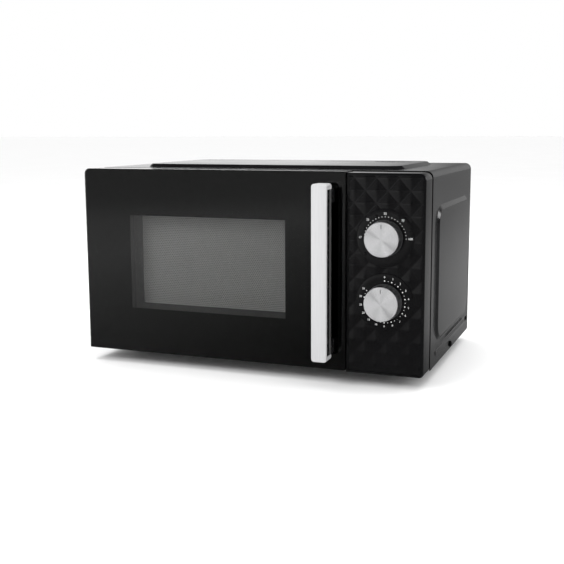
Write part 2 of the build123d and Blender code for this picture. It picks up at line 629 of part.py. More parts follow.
# ---------------------------------------------------------------- door
GLASS_D = (0.0, 3.0)
MASK_D = (3.0, 3.3)
FRAME_WALL_D = (3.3, 6.3)
POCKET_X = (-205.0, 115.0)
PLATE_X = (-207.0, 117.0)
PLATE_Z = (27.0, 241.5)
PLATE_D = (27.0, 28.0)
MESH_X = (-163.0, 57.0)
MESH_Z = (69.0, 198.0)
HOOK_SLOT_X = (117.5, 124.5)
HOOK_SLOT_ROOM = (6.0, 14.5)
FILM_X = (-188.0, 98.0)
FILM_Z = (45.0, 223.0)
FILM_T = 0.5
CHOKE_T = 2.0
HANDLE_SCREW_R = 2.0


def handle_screw_holes(d, radius):
    for screw_z in HANDLE_SCREW_Z:
        rod(mid(HANDLE_X), screw_z, d, radius, Mode.SUBTRACT)


def door_slab(d, inset):
    """The door's outline, drawn in by inset, as a slab that spans the depths d."""
    with BuildSketch(front_plane(d[1])) as outline:
        with Locations((mid(DOOR_X), mid(DOOR_Z))):
            Rectangle(length(DOOR_X) - 2 * inset, length(DOOR_Z) - 2 * inset)
        top_left = outline.vertices().group_by(Axis.X)[0].sort_by(Axis.Y)[-1]
        fillet(top_left, DOOR_TOP_CORNER - inset)
        fillet(outline.vertices().sort_by(Axis.Y)[0:2], DOOR_CORNER)
    extrude(outline.sketch, amount=length(d))


with BuildPart() as door_frame:
    door_slab((FRAME_WALL_D[0], DOOR_T), 0)
    rear_left = door_frame.edges().filter_by(Axis.Z).group_by(Axis.X)[0].sort_by(Axis.Y)[-1]
    fillet(rear_left, 4)
    block(grow(WINDOW_X, 4), (2, 8), grow(WINDOW_Z, 4), Mode.SUBTRACT)
    block(POCKET_X, (FRAME_WALL_D[1], DOOR_T + 1), grow(PLATE_Z, -2), Mode.SUBTRACT)
    block(grow(PLATE_X, 0.3), (PLATE_D[0], DOOR_T + 1), grow(PLATE_Z, 0.3), Mode.SUBTRACT)
    block((DOOR_X[0] + 3, POCKET_X[0] + 1), (FRAME_WALL_D[1], 30), (50, 220), Mode.SUBTRACT)
    block((POCKET_X[1] - 1, DOOR_X[1] - 2.7), (FRAME_WALL_D[1], 30), (20, 248.5), Mode.SUBTRACT)
    for hook in HOOK_Z:
        slot_z = (hook - HOOK_SLOT_ROOM[0], hook + HOOK_SLOT_ROOM[1])
        block(HOOK_SLOT_X, (29, DOOR_T + 1), slot_z, Mode.SUBTRACT)
    for tab, pin in zip(HINGE_TAB_Z, HINGE_PIN_Z):
        block((DOOR_X[0] - 1, HINGE_X + 5.5), (HINGE_D - 7, DOOR_T + 1), grow(tab, 0.8), Mode.SUBTRACT)
        post(HINGE_X, HINGE_D, grow(pin, 1), HINGE_PIN_R + HINGE_FIT, Mode.SUBTRACT)
    handle_screw_holes((2, 8), HANDLE_SCREW_R + 0.2)
save(door_frame, "door_frame")

with BuildPart() as door_glass:
    door_slab(GLASS_D, 0)
    chamfer(door_glass.edges().group_by(Axis.Y)[0], 0.5)
    handle_screw_holes((-1, 5), HANDLE_SCREW_R + 0.2)
save(door_glass, "door_glass")

with BuildPart() as door_mask:
    door_slab(MASK_D, 0.2)
    block(WINDOW_X, grow(MASK_D, 1), WINDOW_Z, Mode.SUBTRACT)
    handle_screw_holes((2, 5), HANDLE_SCREW_R + 0.2)
save(door_mask, "door_mask")

with BuildPart() as door_plate:
    block(PLATE_X, (PLATE_D[0], 33), PLATE_Z)
    block(grow(PLATE_X, -SHEET), (PLATE_D[1], 34), grow(PLATE_Z, -SHEET), Mode.SUBTRACT)
    block(MESH_X, grow(PLATE_D, 1), MESH_Z, Mode.SUBTRACT)
save(door_plate, "door_plate")

with BuildPart() as door_mesh:
    block(grow(MESH_X, 3), (PLATE_D[0] - 0.6, PLATE_D[0]), grow(MESH_Z, 3))
save(door_mesh, "door_mesh")

with BuildPart() as door_inner_film:
    block(FILM_X, (PLATE_D[1], PLATE_D[1] + FILM_T), FILM_Z)
save(door_inner_film, "door_inner_film")

with BuildPart() as choke_cover:
    block(PLATE_X, (33, 33 + CHOKE_T), PLATE_Z)
    fillet(choke_cover.edges().filter_by(Axis.Y), 3)
    block(grow(FILM_X, 2), (32, 36), grow(FILM_Z, 2), Mode.SUBTRACT)
    tube_wall(grow(FILM_X, 3.5), (PLATE_D[1], 33), grow(FILM_Z, 3.5), 1.5)
save(choke_cover, "choke_cover")

HANDLE_FRONT_D = -HANDLE_PROUD
HANDLE_REAR_D = HANDLE_FRONT_D + HANDLE_DEPTH
HANDLE_FACE = 3.0        # thickness of the silver strap down the front
HANDLE_CAP = 6.5         # thickness of the strap where it wraps over the ends
HANDLE_FOOT = 16.0       # height of each foot of the black core
CORE_INSET = 0.8
CORE_GROOVE = 1.2
CORE_GROOVE_D = (-22.0, -19.0)
STRAP_GAP_Z = grow(HANDLE_Z, -HANDLE_CAP)

with BuildPart() as handle_bar:
    block(HANDLE_X, (HANDLE_FRONT_D, HANDLE_REAR_D), HANDLE_Z)
    fillet(handle_bar.edges().filter_by(Axis.Y), 3.5)
    chamfer(handle_bar.edges().group_by(Axis.Y)[0], 1.6)
    block(grow(HANDLE_X, 1), (HANDLE_FRONT_D + HANDLE_FACE, HANDLE_REAR_D + 1), STRAP_GAP_Z, Mode.SUBTRACT)
save(handle_bar, "handle_bar")

with BuildPart() as handle_core:
    core_x = grow(HANDLE_X, -CORE_INSET)
    block(core_x, (HANDLE_FRONT_D + HANDLE_FACE, HANDLE_REAR_D), STRAP_GAP_Z)
    lower_foot = (STRAP_GAP_Z[0], STRAP_GAP_Z[0] + HANDLE_FOOT)
    upper_foot = (STRAP_GAP_Z[1] - HANDLE_FOOT, STRAP_GAP_Z[1])
    for foot_z in (lower_foot, upper_foot):
        block(core_x, (HANDLE_REAR_D, GLASS_D[0]), foot_z)
    for edge_x in core_x:
        groove_x = grow((edge_x, edge_x), CORE_GROOVE)
        block(groove_x, CORE_GROOVE_D, grow(STRAP_GAP_Z, -4), Mode.SUBTRACT)
    handle_screw_holes((-8, 1), HANDLE_SCREW_R + 0.1)
save(handle_core, "handle_core")

with BuildPart() as handle_screws:
    for screw_z in HANDLE_SCREW_Z:
        rod(mid(HANDLE_X), screw_z, (-7.5, FRAME_WALL_D[1]), HANDLE_SCREW_R)
        rod(mid(HANDLE_X), screw_z, (FRAME_WALL_D[1], FRAME_WALL_D[1] + 2.6), SCREW_HEAD_R)
save(handle_screws, "handle_screws")

LATCH_BAR_D = (12.0, 24.0)
LATCH_BAR_Z = (60.0, 222.0)
HOOK_NOSE = 5.0

with BuildPart() as latch_hook:
    block(LATCH_X, LATCH_BAR_D, LATCH_BAR_Z)
    for hook in HOOK_Z:
        block(LATCH_X, (LATCH_BAR_D[1], HOOK_TIP_D), (hook, hook + HOOK_ARM_H))
        with BuildSketch(Plane(origin=(LATCH_X[0], 0, 0), x_dir=(0, 1, 0), z_dir=(1, 0, 0))):
            with BuildLine():
                Polyline(
                    (at_depth(HOOK_TIP_D - 6), hook),
                    (at_depth(HOOK_TIP_D), hook),
                    (at_depth(HOOK_TIP_D - 4), hook - HOOK_NOSE),
                    (at_depth(HOOK_TIP_D - 6), hook - HOOK_NOSE),
                    close=True,
                )
            make_face()
        extrude(amount=length(LATCH_X))
save(latch_hook, "latch_hook")

with BuildPart() as latch_spring:
    post(mid(LATCH_X), mid(LATCH_BAR_D), (LATCH_BAR_Z[1] + 0.2, 248.2), 2.4)
    post(mid(LATCH_X), mid(LATCH_BAR_D), (LATCH_BAR_Z[1] - 1, 249), 1.6, Mode.SUBTRACT)
save(latch_spring, "latch_spring")


# ---------------------------------------------------------------- door interlock
BRACKET_X = (104.0, 127.0)
BRACKET_D = (37.0, 60.0)
SWITCH_D = (60.0, 78.0)
SWITCH_X = (115.0, 127.0)
TERMINAL_X = (120.0, 122.0)
PLUNGER_R = 1.6
PLUNGER_D = (53.2, 66.0)
PLUNGER_RISE = 4.5       # the plunger meets the middle of the hook's arm

with BuildPart() as interlock_bracket:
    block(BRACKET_X, BRACKET_D, (52, 232))
    block((BRACKET_X[0] + 2, SWITCH_X[0] - 1), (BRACKET_D[0] + 2, BRACKET_D[1] + 1), (54, 230), Mode.SUBTRACT)
    for hook in HOOK_Z:
        block(LATCH_SLOT_X, grow(BRACKET_D, 1), (hook - 8, hook + 16), Mode.SUBTRACT)
save(interlock_bracket, "interlock_bracket")

with BuildPart() as microswitches:
    for hook in HOOK_Z:
        block(SWITCH_X, SWITCH_D, (hook - 12, hook + 20))
        bore_d = (SWITCH_D[0] - 1, SWITCH_D[0] + 10)
        rod(mid(LATCH_X), hook + PLUNGER_RISE, bore_d, PLUNGER_R + 0.3, Mode.SUBTRACT)
        for terminal in (-6, 4, 14):
            terminal_z = grow((hook + terminal, hook + terminal), 2.4)
            block(TERMINAL_X, (SWITCH_D[1], SWITCH_D[1] + 7), terminal_z)
save(microswitches, "microswitches")

for hook, place in zip(HOOK_Z, ("lower", "upper")):
    with BuildPart() as plunger:
        rod(mid(LATCH_X), hook + PLUNGER_RISE, PLUNGER_D, PLUNGER_R)
        fillet(plunger.edges().group_by(Axis.Y)[0], 1)
    save(plunger, f"switch_plunger_{place}")


# ---------------------------------------------------------------- control panel and dials
PANEL_WALL = 2.5
PANEL_CORNER_R = (5.0, 8.0)
CORNER_BOSS_X = (138.0, 215.0)
CORNER_BOSS_Z = (24.0, 242.0)
BOSS_R = 3.5
TIMER_X = (150.0, 205.0)
TIMER_Z = (85.0, 200.0)
TIMER_D = (12.0, 48.0)
GEARBOX_X = (158.0, 197.0)
GEARBOX_Z = (122.0, 160.0)
BUSH_R = 6.0

with BuildPart() as control_panel:
    with BuildSketch(front_plane(PANEL_T)) as panel_outline:
        with Locations((mid(PANEL_X), mid(PANEL_Z))):
            Rectangle(length(PANEL_X), length(PANEL_Z))
        right = panel_outline.vertices().group_by(Axis.X)[-1].sort_by(Axis.Y)
        left = panel_outline.vertices().group_by(Axis.X)[0]
        fillet(right[0], PANEL_CORNER_R[0])
        fillet(right[1], PANEL_CORNER_R[1])
        fillet(left, 1)
    extrude(amount=PANEL_T)
    chamfer(control_panel.edges().group_by(Axis.Y)[0], 0.9)
    inner_x = grow(PANEL_X, -PANEL_WALL)
    inner_z = grow(PANEL_Z, -PANEL_WALL)
    block(inner_x, (PANEL_WALL, PANEL_T + 1), inner_z, Mode.SUBTRACT)
    for boss_x in CORNER_BOSS_X:
        for boss_z in CORNER_BOSS_Z:
            rod(boss_x, boss_z, (PANEL_WALL, FRONT_PLATE_D[0]), BOSS_R)
    for boss_x in grow(TIMER_X, -6):
        for boss_z in grow(TIMER_Z, -7):
            rod(boss_x, boss_z, (PANEL_WALL, TIMER_D[0]), BOSS_R)
    for dial_z in (POWER_DIAL_Z, TIMER_DIAL_Z):
        rod(DIAL_X, dial_z, (-1, PANEL_WALL + 1), BUSH_R + 0.3, Mode.SUBTRACT)
save(control_panel, "control_panel")

with BuildPart() as timer_body:
    block(TIMER_X, TIMER_D, TIMER_Z)
    fillet(timer_body.edges().filter_by(Axis.Y), 4)
    for dial_z in (POWER_DIAL_Z, TIMER_DIAL_Z):
        rod(DIAL_X, dial_z, (1, TIMER_D[0]), BUSH_R)
    block(GEARBOX_X, (TIMER_D[1], TIMER_D[1] + 9), GEARBOX_Z)
    for dial_z in (POWER_DIAL_Z, TIMER_DIAL_Z):
        rod(DIAL_X, dial_z, (0, TIMER_D[1] - 15), SHAFT_R + 0.3, Mode.SUBTRACT)
save(timer_body, "timer_body")

KNOB_REAR_D = -0.5
KNOB_FACE_D = -KNOB_PROUD
CAP_T = 1.6
SKIRT_H = 1.8

for dial_z, dial in ((POWER_DIAL_Z, "power"), (TIMER_DIAL_Z, "timer")):
    with BuildPart() as shaft:
        rod(DIAL_X, dial_z, (KNOB_FACE_D + 4, TIMER_D[1] - 17), SHAFT_R)
    save(shaft, f"{dial}_shaft")
    with BuildPart() as knob:
        rod(DIAL_X, dial_z, (KNOB_REAR_D - SKIRT_H, KNOB_REAR_D), KNOB_R + 1)
        rod(DIAL_X, dial_z, (KNOB_FACE_D + 0.6, KNOB_REAR_D - SKIRT_H), KNOB_R)
        rod(DIAL_X, dial_z, (KNOB_FACE_D + 4, KNOB_REAR_D + 1), KNOB_R - 3, Mode.SUBTRACT)
        rod(DIAL_X, dial_z, (KNOB_FACE_D + 3, KNOB_REAR_D - 3), 6)
        rod(DIAL_X, dial_z, (KNOB_FACE_D + 4, KNOB_REAR_D + 1), SHAFT_R, Mode.SUBTRACT)
        rod(DIAL_X, dial_z, (KNOB_FACE_D, KNOB_FACE_D + CAP_T), KNOB_R - 1, Mode.SUBTRACT)
    save(knob, f"{dial}_knob")
    with BuildPart() as cap:
        rod(DIAL_X, dial_z, (KNOB_FACE_D, KNOB_FACE_D + CAP_T), KNOB_R - 1)
        chamfer(cap.edges().group_by(Axis.Y)[0], 0.7)
    save(cap, f"{dial}_knob_cap")
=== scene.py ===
import math

import bmesh
import bpy
from bpy.props import FloatProperty, FloatVectorProperty, IntProperty, PointerProperty
from mathutils import Matrix, Vector


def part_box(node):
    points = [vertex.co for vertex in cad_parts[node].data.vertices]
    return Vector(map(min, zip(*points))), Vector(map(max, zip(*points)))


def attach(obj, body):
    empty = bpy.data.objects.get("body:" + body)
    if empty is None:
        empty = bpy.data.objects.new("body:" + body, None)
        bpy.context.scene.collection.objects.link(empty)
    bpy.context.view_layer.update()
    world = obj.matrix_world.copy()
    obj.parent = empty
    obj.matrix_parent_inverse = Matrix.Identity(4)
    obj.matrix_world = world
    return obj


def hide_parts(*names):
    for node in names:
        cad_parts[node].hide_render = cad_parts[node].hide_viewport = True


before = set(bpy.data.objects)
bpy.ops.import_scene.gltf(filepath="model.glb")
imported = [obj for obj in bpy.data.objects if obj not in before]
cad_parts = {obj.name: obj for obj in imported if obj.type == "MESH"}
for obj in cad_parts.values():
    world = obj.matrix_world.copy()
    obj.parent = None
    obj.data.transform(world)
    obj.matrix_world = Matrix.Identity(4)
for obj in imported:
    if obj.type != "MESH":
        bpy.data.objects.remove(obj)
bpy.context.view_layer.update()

bl_info = {
    "name": "Two-dial microwave oven",
    "version": (1, 0, 0),
    "blender": (4, 5, 0),
    "location": "View3D > Sidebar > Oven",
    "description": "Builds the visible skin, dials, door and finishes of a countertop microwave oven",
    "category": "Add Mesh",
}

MM = 0.001
FRONT = Vector((0, -1, 0))

GLASS_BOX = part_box("door_glass")
PANEL_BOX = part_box("control_panel")
CASE_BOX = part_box("outer_case")
SCREEN_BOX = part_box("door_mesh")
HANDLE_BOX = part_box("handle_bar")
CORE_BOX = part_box("handle_core")
FACE_Y = GLASS_BOX[0].y
FOOT_Z = PANEL_BOX[0].z


# ---------------------------------------------------------------- settings a user would change
class OvenSizes(bpy.types.PropertyGroup):
    quilt_width: FloatProperty(
        name="Quilt width", description="Width of one diamond of the panel's relief",
        default=26.6 * MM, unit="LENGTH")
    quilt_height: FloatProperty(
        name="Quilt height", description="Height of one diamond of the panel's relief",
        default=29.2 * MM, unit="LENGTH")
    quilt_relief: FloatProperty(
        name="Quilt relief", description="How far the middle of a diamond stands out of its edges",
        default=1.25 * MM, unit="LENGTH")
    screen_pitch: FloatProperty(
        name="Screen pitch", description="Distance between the holes in the window's screen",
        default=2.6 * MM, unit="LENGTH")
    handle_round: FloatProperty(
        name="Handle corner", description="Radius of the handle's corners, seen from the front",
        default=3.5 * MM, unit="LENGTH")
    knob_sides: IntProperty(
        name="Knob sides", description="Number of facets round a knob", default=96, min=24, max=192)


class OvenColours(bpy.types.PropertyGroup):
    gloss_black: FloatVectorProperty(
        name="Gloss black", description="Moulded door and panel", subtype="COLOR",
        default=(0.008, 0.008, 0.009), min=0, max=1)
    case_black: FloatVectorProperty(
        name="Case paint", description="Outer case", subtype="COLOR",
        default=(0.005, 0.005, 0.0055), min=0, max=1)
    silver: FloatVectorProperty(
        name="Silver", description="Handle and knob faces", subtype="COLOR",
        default=(0.80, 0.80, 0.81), min=0, max=1)
    enamel: FloatVectorProperty(
        name="Enamel", description="Cavity paint", subtype="COLOR",
        default=(0.42, 0.43, 0.43), min=0, max=1)
    print_white: FloatVectorProperty(
        name="Print", description="Dial print", subtype="COLOR",
        default=(0.85, 0.85, 0.85), min=0, max=1)


def sizes():
    return bpy.context.scene.oven_sizes


def colours():
    return bpy.context.scene.oven_colours


# ---------------------------------------------------------------- modelling by hand, in code
def clear_selection():
    for obj in list(bpy.context.selected_objects):
        obj.select_set(False)


def take(obj):
    """Selects only this object and makes it active."""
    clear_selection()
    obj.select_set(True)
    bpy.context.view_layer.objects.active = obj


def named(name):
    obj = bpy.context.active_object
    obj.name = name
    obj.data.name = name
    return obj


def settle(obj):
    """Puts the object's place, turn and size into its mesh."""
    take(obj)
    bpy.ops.object.transform_apply(location=True, rotation=True, scale=True)
    return obj


def block(name, low, high):
    """A box between two corners, as a start for shaping."""
    clear_selection()
    low, high = Vector(low), Vector(high)
    bpy.ops.mesh.primitive_cube_add(size=1, location=(low + high) / 2)
    obj = named(name)
    obj.scale = high - low
    return settle(obj)


def edit(obj, kind="FACE"):
    take(obj)
    bpy.ops.object.mode_set(mode="EDIT")
    bpy.ops.mesh.select_mode(type=kind)
    bpy.ops.mesh.select_all(action="DESELECT")


def leave():
    bpy.ops.object.mode_set(mode="OBJECT")


def choose(obj, kind, test):
    """Selects the faces, edges or vertices whose middle and direction pass the test."""
    bpy.ops.mesh.select_mode(type=kind)
    bpy.ops.mesh.select_all(action="DESELECT")
    mesh = bmesh.from_edit_mesh(obj.data)
    if kind == "FACE":
        for face in mesh.faces:
            face.select_set(bool(test(face.calc_center_median(), face.normal)))
    elif kind == "EDGE":
        for edge in mesh.edges:
            ends = [vert.co for vert in edge.verts]
            edge.select_set(bool(test((ends[0] + ends[1]) / 2, (ends[1] - ends[0]).normalized())))
    else:
        for vert in mesh.verts:
            vert.select_set(bool(test(vert.co, vert.normal)))
    mesh.select_flush_mode()
    bmesh.update_edit_mesh(obj.data)


def push(offset):
    bpy.ops.mesh.extrude_region_move(TRANSFORM_OT_translate={"value": tuple(offset)})


def scale_about(centre, value):
    bpy.ops.transform.resize(value=value, center_override=tuple(centre))


def cut(at, normal, clear=False):
    """Cuts the whole mesh by a plane, and drops what lies beyond it if clear is set."""
    bpy.ops.mesh.select_all(action="SELECT")
    bpy.ops.mesh.bisect(plane_co=tuple(at), plane_no=tuple(normal), clear_outer=clear)


def soften(obj, width, segments=3, angle=math.radians(30), profile=0.5):
    """Rounds every edge sharper than the angle."""
    take(obj)
    bevel = obj.modifiers.new("edges", "BEVEL")
    bevel.width = width
    bevel.segments = segments
    bevel.limit_method = "ANGLE"
    bevel.angle_limit = angle
    bevel.profile = profile
    bevel.harden_normals = False
    bpy.ops.object.modifier_apply(modifier=bevel.name)


def smooth(obj, angle=35):
    take(obj)
    bpy.ops.object.shade_smooth_by_angle(angle=math.radians(angle))


def repeat(obj, count, offset):
    """Copies the mesh along a straight line."""
    take(obj)
    array = obj.modifiers.new("row", "ARRAY")
    array.use_relative_offset = False
    array.use_constant_offset = True
    array.constant_offset_displace = offset
    array.count = count
    array.use_merge_vertices = False
    bpy.ops.object.modifier_apply(modifier=array.name)


def cut_away(obj, tool):
    """Takes the tool's shape out of the object, and drops the tool."""
    take(obj)
    cutting = obj.modifiers.new("openings", "BOOLEAN")
    cutting.operation = "DIFFERENCE"
    cutting.solver = "EXACT"
    cutting.object = tool
    bpy.ops.object.modifier_apply(modifier=cutting.name)
    take(tool)
    bpy.ops.object.delete()


def weld(obj, distance=0.01 * MM):
    edit(obj, "VERT")
    bpy.ops.mesh.select_all(action="SELECT")
    bpy.ops.mesh.remove_doubles(threshold=distance)
    leave()


def face_out(obj):
    edit(obj)
    bpy.ops.mesh.select_all(action="SELECT")
    bpy.ops.mesh.normals_make_consistent(inside=False)
    leave()


def join(name, parts):
    clear_selection()
    for part in parts:
        part.select_set(True)
    bpy.context.view_layer.objects.active = parts[0]
    if len(parts) > 1:
        bpy.ops.object.join()
    return named(name)


def copy_of(obj, name, offset=(0, 0, 0)):
    """A separate copy with its own mesh, moved by the offset."""
    twin = obj.copy()
    twin.data = obj.data.copy()
    twin.name = name
    twin.data.name = name
    bpy.context.scene.collection.objects.link(twin)
    twin.location = Vector(twin.location) + Vector(offset)
    return settle(twin)


def turned(name, centre, profile, sides=96):
    """A lathe shape about an axis along Y. Its profile is (radius, distance in front of the centre)."""
    clear_selection()
    first_radius, first_out = profile[0]
    bpy.ops.mesh.primitive_circle_add(
        vertices=sides, radius=first_radius, location=centre + FRONT * first_out,
        rotation=(math.pi / 2, 0, 0))
    obj = settle(named(name))
    edit(obj, "EDGE")
    bpy.ops.mesh.select_all(action="SELECT")
    bpy.ops.mesh.edge_face_add()
    bpy.ops.mesh.select_all(action="SELECT")
    radius, out = profile[0]
    for next_radius, next_out in profile[1:]:
        push(FRONT * (next_out - out))
        ratio = next_radius / radius
        scale_about(centre + FRONT * next_out, (ratio, 1, ratio))
        radius, out = next_radius, next_out
    leave()
    face_out(obj)
    return obj


def wear(obj, material, body, slot, *nodes):
    """Gives a finished piece its material and its body, and hides the nodes that it stands for; the slot is
    not used.
    """
    obj.data.materials.clear()
    obj.data.materials.append(material)
    settle(obj)
    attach(obj, body)
    if nodes:
        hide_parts(*nodes)


# ---------------------------------------------------------------- finishes
# Painted sheen of a turned face, put into its base colour: share of a turn and gain, in two opposite pairs
# of wedges.
PAINTED_SHEEN_WEDGES = ((0.06, 1.0), (0.12, 0.92), (0.2, 1.1), (0.25, 1.0), (0.3, 0.74), (0.37, 1.04),
              (0.46, 1.0), (0.56, 1.1), (0.64, 0.92), (0.72, 1.06), (0.77, 1.0), (0.81, 0.78),
              (0.87, 1.0), (0.93, 1.08))


def begin_finish(name, colour, roughness, metallic=0.0, **sockets):
    """A material with its constants on the shader. Returns (material, tree, shader, coordinates)."""
    material = bpy.data.materials.new(name)
    material.use_nodes = True
    tree = material.node_tree
    shader = tree.nodes["Principled BSDF"]
    shader.inputs["Base Color"].default_value = (*colour, 1)
    shader.inputs["Roughness"].default_value = roughness
    shader.inputs["Metallic"].default_value = metallic
    for socket, value in sockets.items():
        shader.inputs[socket.replace("_", " ")].default_value = value
    coordinates = tree.nodes.new("ShaderNodeTexCoord").outputs["Object"]
    return material, tree, shader, coordinates


def separated(tree, vector):
    """The X, Y and Z of a vector."""
    split = tree.nodes.new("ShaderNodeSeparateXYZ")
    tree.links.new(vector, split.inputs["Vector"])
    return split.outputs["X"], split.outputs["Y"], split.outputs["Z"]


def stretched(tree, coordinates, scale, turn=(0, 0, 0), centre=(0, 0, 0)):
    mapping = tree.nodes.new("ShaderNodeMapping")
    mapping.vector_type = "POINT"
    mapping.inputs["Scale"].default_value = scale
    mapping.inputs["Rotation"].default_value = turn
    mapping.inputs["Location"].default_value = centre
    tree.links.new(coordinates, mapping.inputs["Vector"])
    return mapping.outputs["Vector"]


def noise(tree, vector, scale, detail=3.0, rough=0.55):
    texture = tree.nodes.new("ShaderNodeTexNoise")
    texture.inputs["Scale"].default_value = scale
    texture.inputs["Detail"].default_value = detail
    texture.inputs["Roughness"].default_value = rough
    tree.links.new(vector, texture.inputs["Vector"])
    return texture.outputs["Fac"]


def spread(tree, factor, low, high, start=0.3, end=0.7):
    """Maps a pattern onto a range of values."""
    remap = tree.nodes.new("ShaderNodeMapRange")
    remap.inputs["From Min"].default_value = start
    remap.inputs["From Max"].default_value = end
    remap.inputs["To Min"].default_value = low
    remap.inputs["To Max"].default_value = high
    tree.links.new(factor, remap.inputs["Value"])
    return remap.outputs["Result"]


def blend_colour(tree, factor, first, second):
    mix = tree.nodes.new("ShaderNodeMix")
    mix.data_type = "RGBA"
    mix.inputs[6].default_value = (*first, 1)
    mix.inputs[7].default_value = (*second, 1)
    tree.links.new(factor, mix.inputs[0])
    return mix.outputs[2]


def tint(colour, gain):
    return tuple(min(1.0, channel * gain) for channel in colour)


def mottle(tree, shader, factor, colour, spread_by=0.15):
    """Base colour that wanders a little either side of its mean."""
    darker, lighter = tint(colour, 1 - spread_by), tint(colour, 1 + spread_by)
    result = blend_colour(tree, spread(tree, factor, 0, 1), darker, lighter)
    tree.links.new(result, shader.inputs["Base Color"])


def patch_roughness(tree, shader, factor, low, high):
    tree.links.new(spread(tree, factor, low, high), shader.inputs["Roughness"])


def relief(tree, shader, height, depth, strength=1.0):
    bump = tree.nodes.new("ShaderNodeBump")
    bump.inputs["Distance"].default_value = depth
    bump.inputs["Strength"].default_value = strength
    tree.links.new(height, bump.inputs["Height"])
    tree.links.new(bump.outputs["Normal"], shader.inputs["Normal"])


def gloss_moulding(name="gloss_moulding", roughness=(0.10, 0.16), gain=1.0):
    """Polished black plastic with the faint ripple of a moulded face."""
    colour = tint(colours().gloss_black, gain)
    material, tree, shader, place = begin_finish(name, colour, 0.12)
    mottle(tree, shader, noise(tree, place, 40), colour)
    patch_roughness(tree, shader, noise(tree, place, 90, 4), *roughness)
    relief(tree, shader, noise(tree, place, 260, 2), 0.02 * MM, 0.35)
    return material


def case_paint():
    """Baked black paint on pressed steel: satin gloss over a fine orange peel."""
    colour = colours().case_black
    material, tree, shader, place = begin_finish("case_paint", colour, 0.2)
    mottle(tree, shader, noise(tree, place, 25), colour, 0.2)
    patch_roughness(tree, shader, noise(tree, place, 12, 2), 0.17, 0.21)
    relief(tree, shader, noise(tree, place, 1400, 2), 0.01 * MM, 0.25)
    return material


def front_glass():
    """Clear front sheet, faintly grey."""
    material, tree, shader, place = begin_finish(
        "front_glass", (0.82, 0.82, 0.81), 0.03, Transmission_Weight=1.0, IOR=1.5)
    patch_roughness(tree, shader, noise(tree, place, 30, 4), 0.015, 0.04)
    return material


def printed_border():
    """Black print behind the glass."""
    colour = colours().gloss_black
    material, tree, shader, place = begin_finish("printed_border", colour, 0.45)
    mottle(tree, shader, noise(tree, place, 120), colour, 0.3)
    relief(tree, shader, noise(tree, place, 1500, 2), 0.01 * MM, 0.3)
    return material


def enamel(name="enamel", gain=1.0):
    """Speckled baked enamel of the cavity."""
    colour = tint(colours().enamel, gain)
    material, tree, shader, place = begin_finish(name, colour, 0.35)
    speck = spread(tree, noise(tree, place, 2200, 1), 0, 1, 0.62, 0.66)
    tree.links.new(blend_colour(tree, speck, colour, tint(colour, 0.55)), shader.inputs["Base Color"])
    patch_roughness(tree, shader, noise(tree, place, 50, 4), 0.28, 0.42)
    relief(tree, shader, noise(tree, place, 700, 2), 0.04 * MM, 0.4)
    return material


def screen_paint():
    """Grey paint on the perforated screen."""
    colour = (0.98, 0.98, 0.97)
    material, tree, shader, place = begin_finish("screen_paint", colour, 0.5)
    mottle(tree, shader, noise(tree, place, 300), colour, 0.12)
    patch_roughness(tree, shader, noise(tree, place, 800), 0.42, 0.6)
    return material


def satin_silver():
    """Silvered plastic with a soft vertical brush."""
    colour = tint(colours().silver, 0.82)
    material, tree, shader, place = begin_finish("satin_silver", colour, 0.4, 0.3)
    grain = noise(tree, stretched(tree, place, (1, 1, 0.02)), 1800, 4)
    mottle(tree, shader, grain, colour, 0.05)
    patch_roughness(tree, shader, grain, 0.34, 0.46)
    relief(tree, shader, grain, 0.01 * MM, 0.4)
    return material


def spun_aluminium_with_painted_sheen(name, centre, turn):
    """Turned face: fine rings round the knob's own axis, and the wedges of a painted sheen, lighter and
    darker base colour by angle.
    """
    colour = tint(colours().silver, 0.72)
    material, tree, shader, place = begin_finish(name, colour, 0.28, 0.45, Anisotropic=0.8)
    about = stretched(tree, place, (1, 1, 1), (0, 0, 0), tuple(-centre))
    across, _, up = separated(tree, about)
    face = tree.nodes.new("ShaderNodeCombineXYZ")
    tree.links.new(across, face.inputs["X"])
    tree.links.new(up, face.inputs["Y"])
    wedge = tree.nodes.new("ShaderNodeTexGradient")
    wedge.gradient_type = "RADIAL"
    tree.links.new(stretched(tree, face.outputs["Vector"], (1, 1, 1), (0, 0, turn)), wedge.inputs["Vector"])
    # The base colour is painted lighter and darker in wedges round the axis: a painted sheen.
    painted_sheen = tree.nodes.new("ShaderNodeValToRGB")
    painted_sheen.color_ramp.elements[0].color = (*tint(colour, 1.08), 1)
    painted_sheen.color_ramp.elements[1].color = (*tint(colour, 1.08), 1)
    for place_round, gain in PAINTED_SHEEN_WEDGES:
        painted_sheen.color_ramp.elements.new(place_round).color = (*tint(colour, gain), 1)
    tree.links.new(wedge.outputs["Color"], painted_sheen.inputs["Fac"])
    tree.links.new(painted_sheen.outputs["Color"], shader.inputs["Base Color"])
    rings = tree.nodes.new("ShaderNodeTexWave")
    rings.wave_type = "RINGS"
    rings.rings_direction = "Y"
    rings.inputs["Scale"].default_value = 900
    rings.inputs["Distortion"].default_value = 0.6
    tree.links.new(about, rings.inputs["Vector"])
    tangent = tree.nodes.new("ShaderNodeTangent")
    tangent.direction_type = "RADIAL"
    tangent.axis = "Y"
    tree.links.new(tangent.outputs["Tangent"], shader.inputs["Tangent"])
    patch_roughness(tree, shader, rings.outputs["Fac"], 0.22, 0.32)
    relief(tree, shader, rings.outputs["Fac"], 0.006 * MM, 0.25)
    return material


def dial_print():
    """White screen print on the panel."""
    colour = colours().print_white
    material, tree, shader, place = begin_finish("dial_print", colour, 0.5)
    mottle(tree, shader, noise(tree, place, 900), colour, 0.06)
    return material


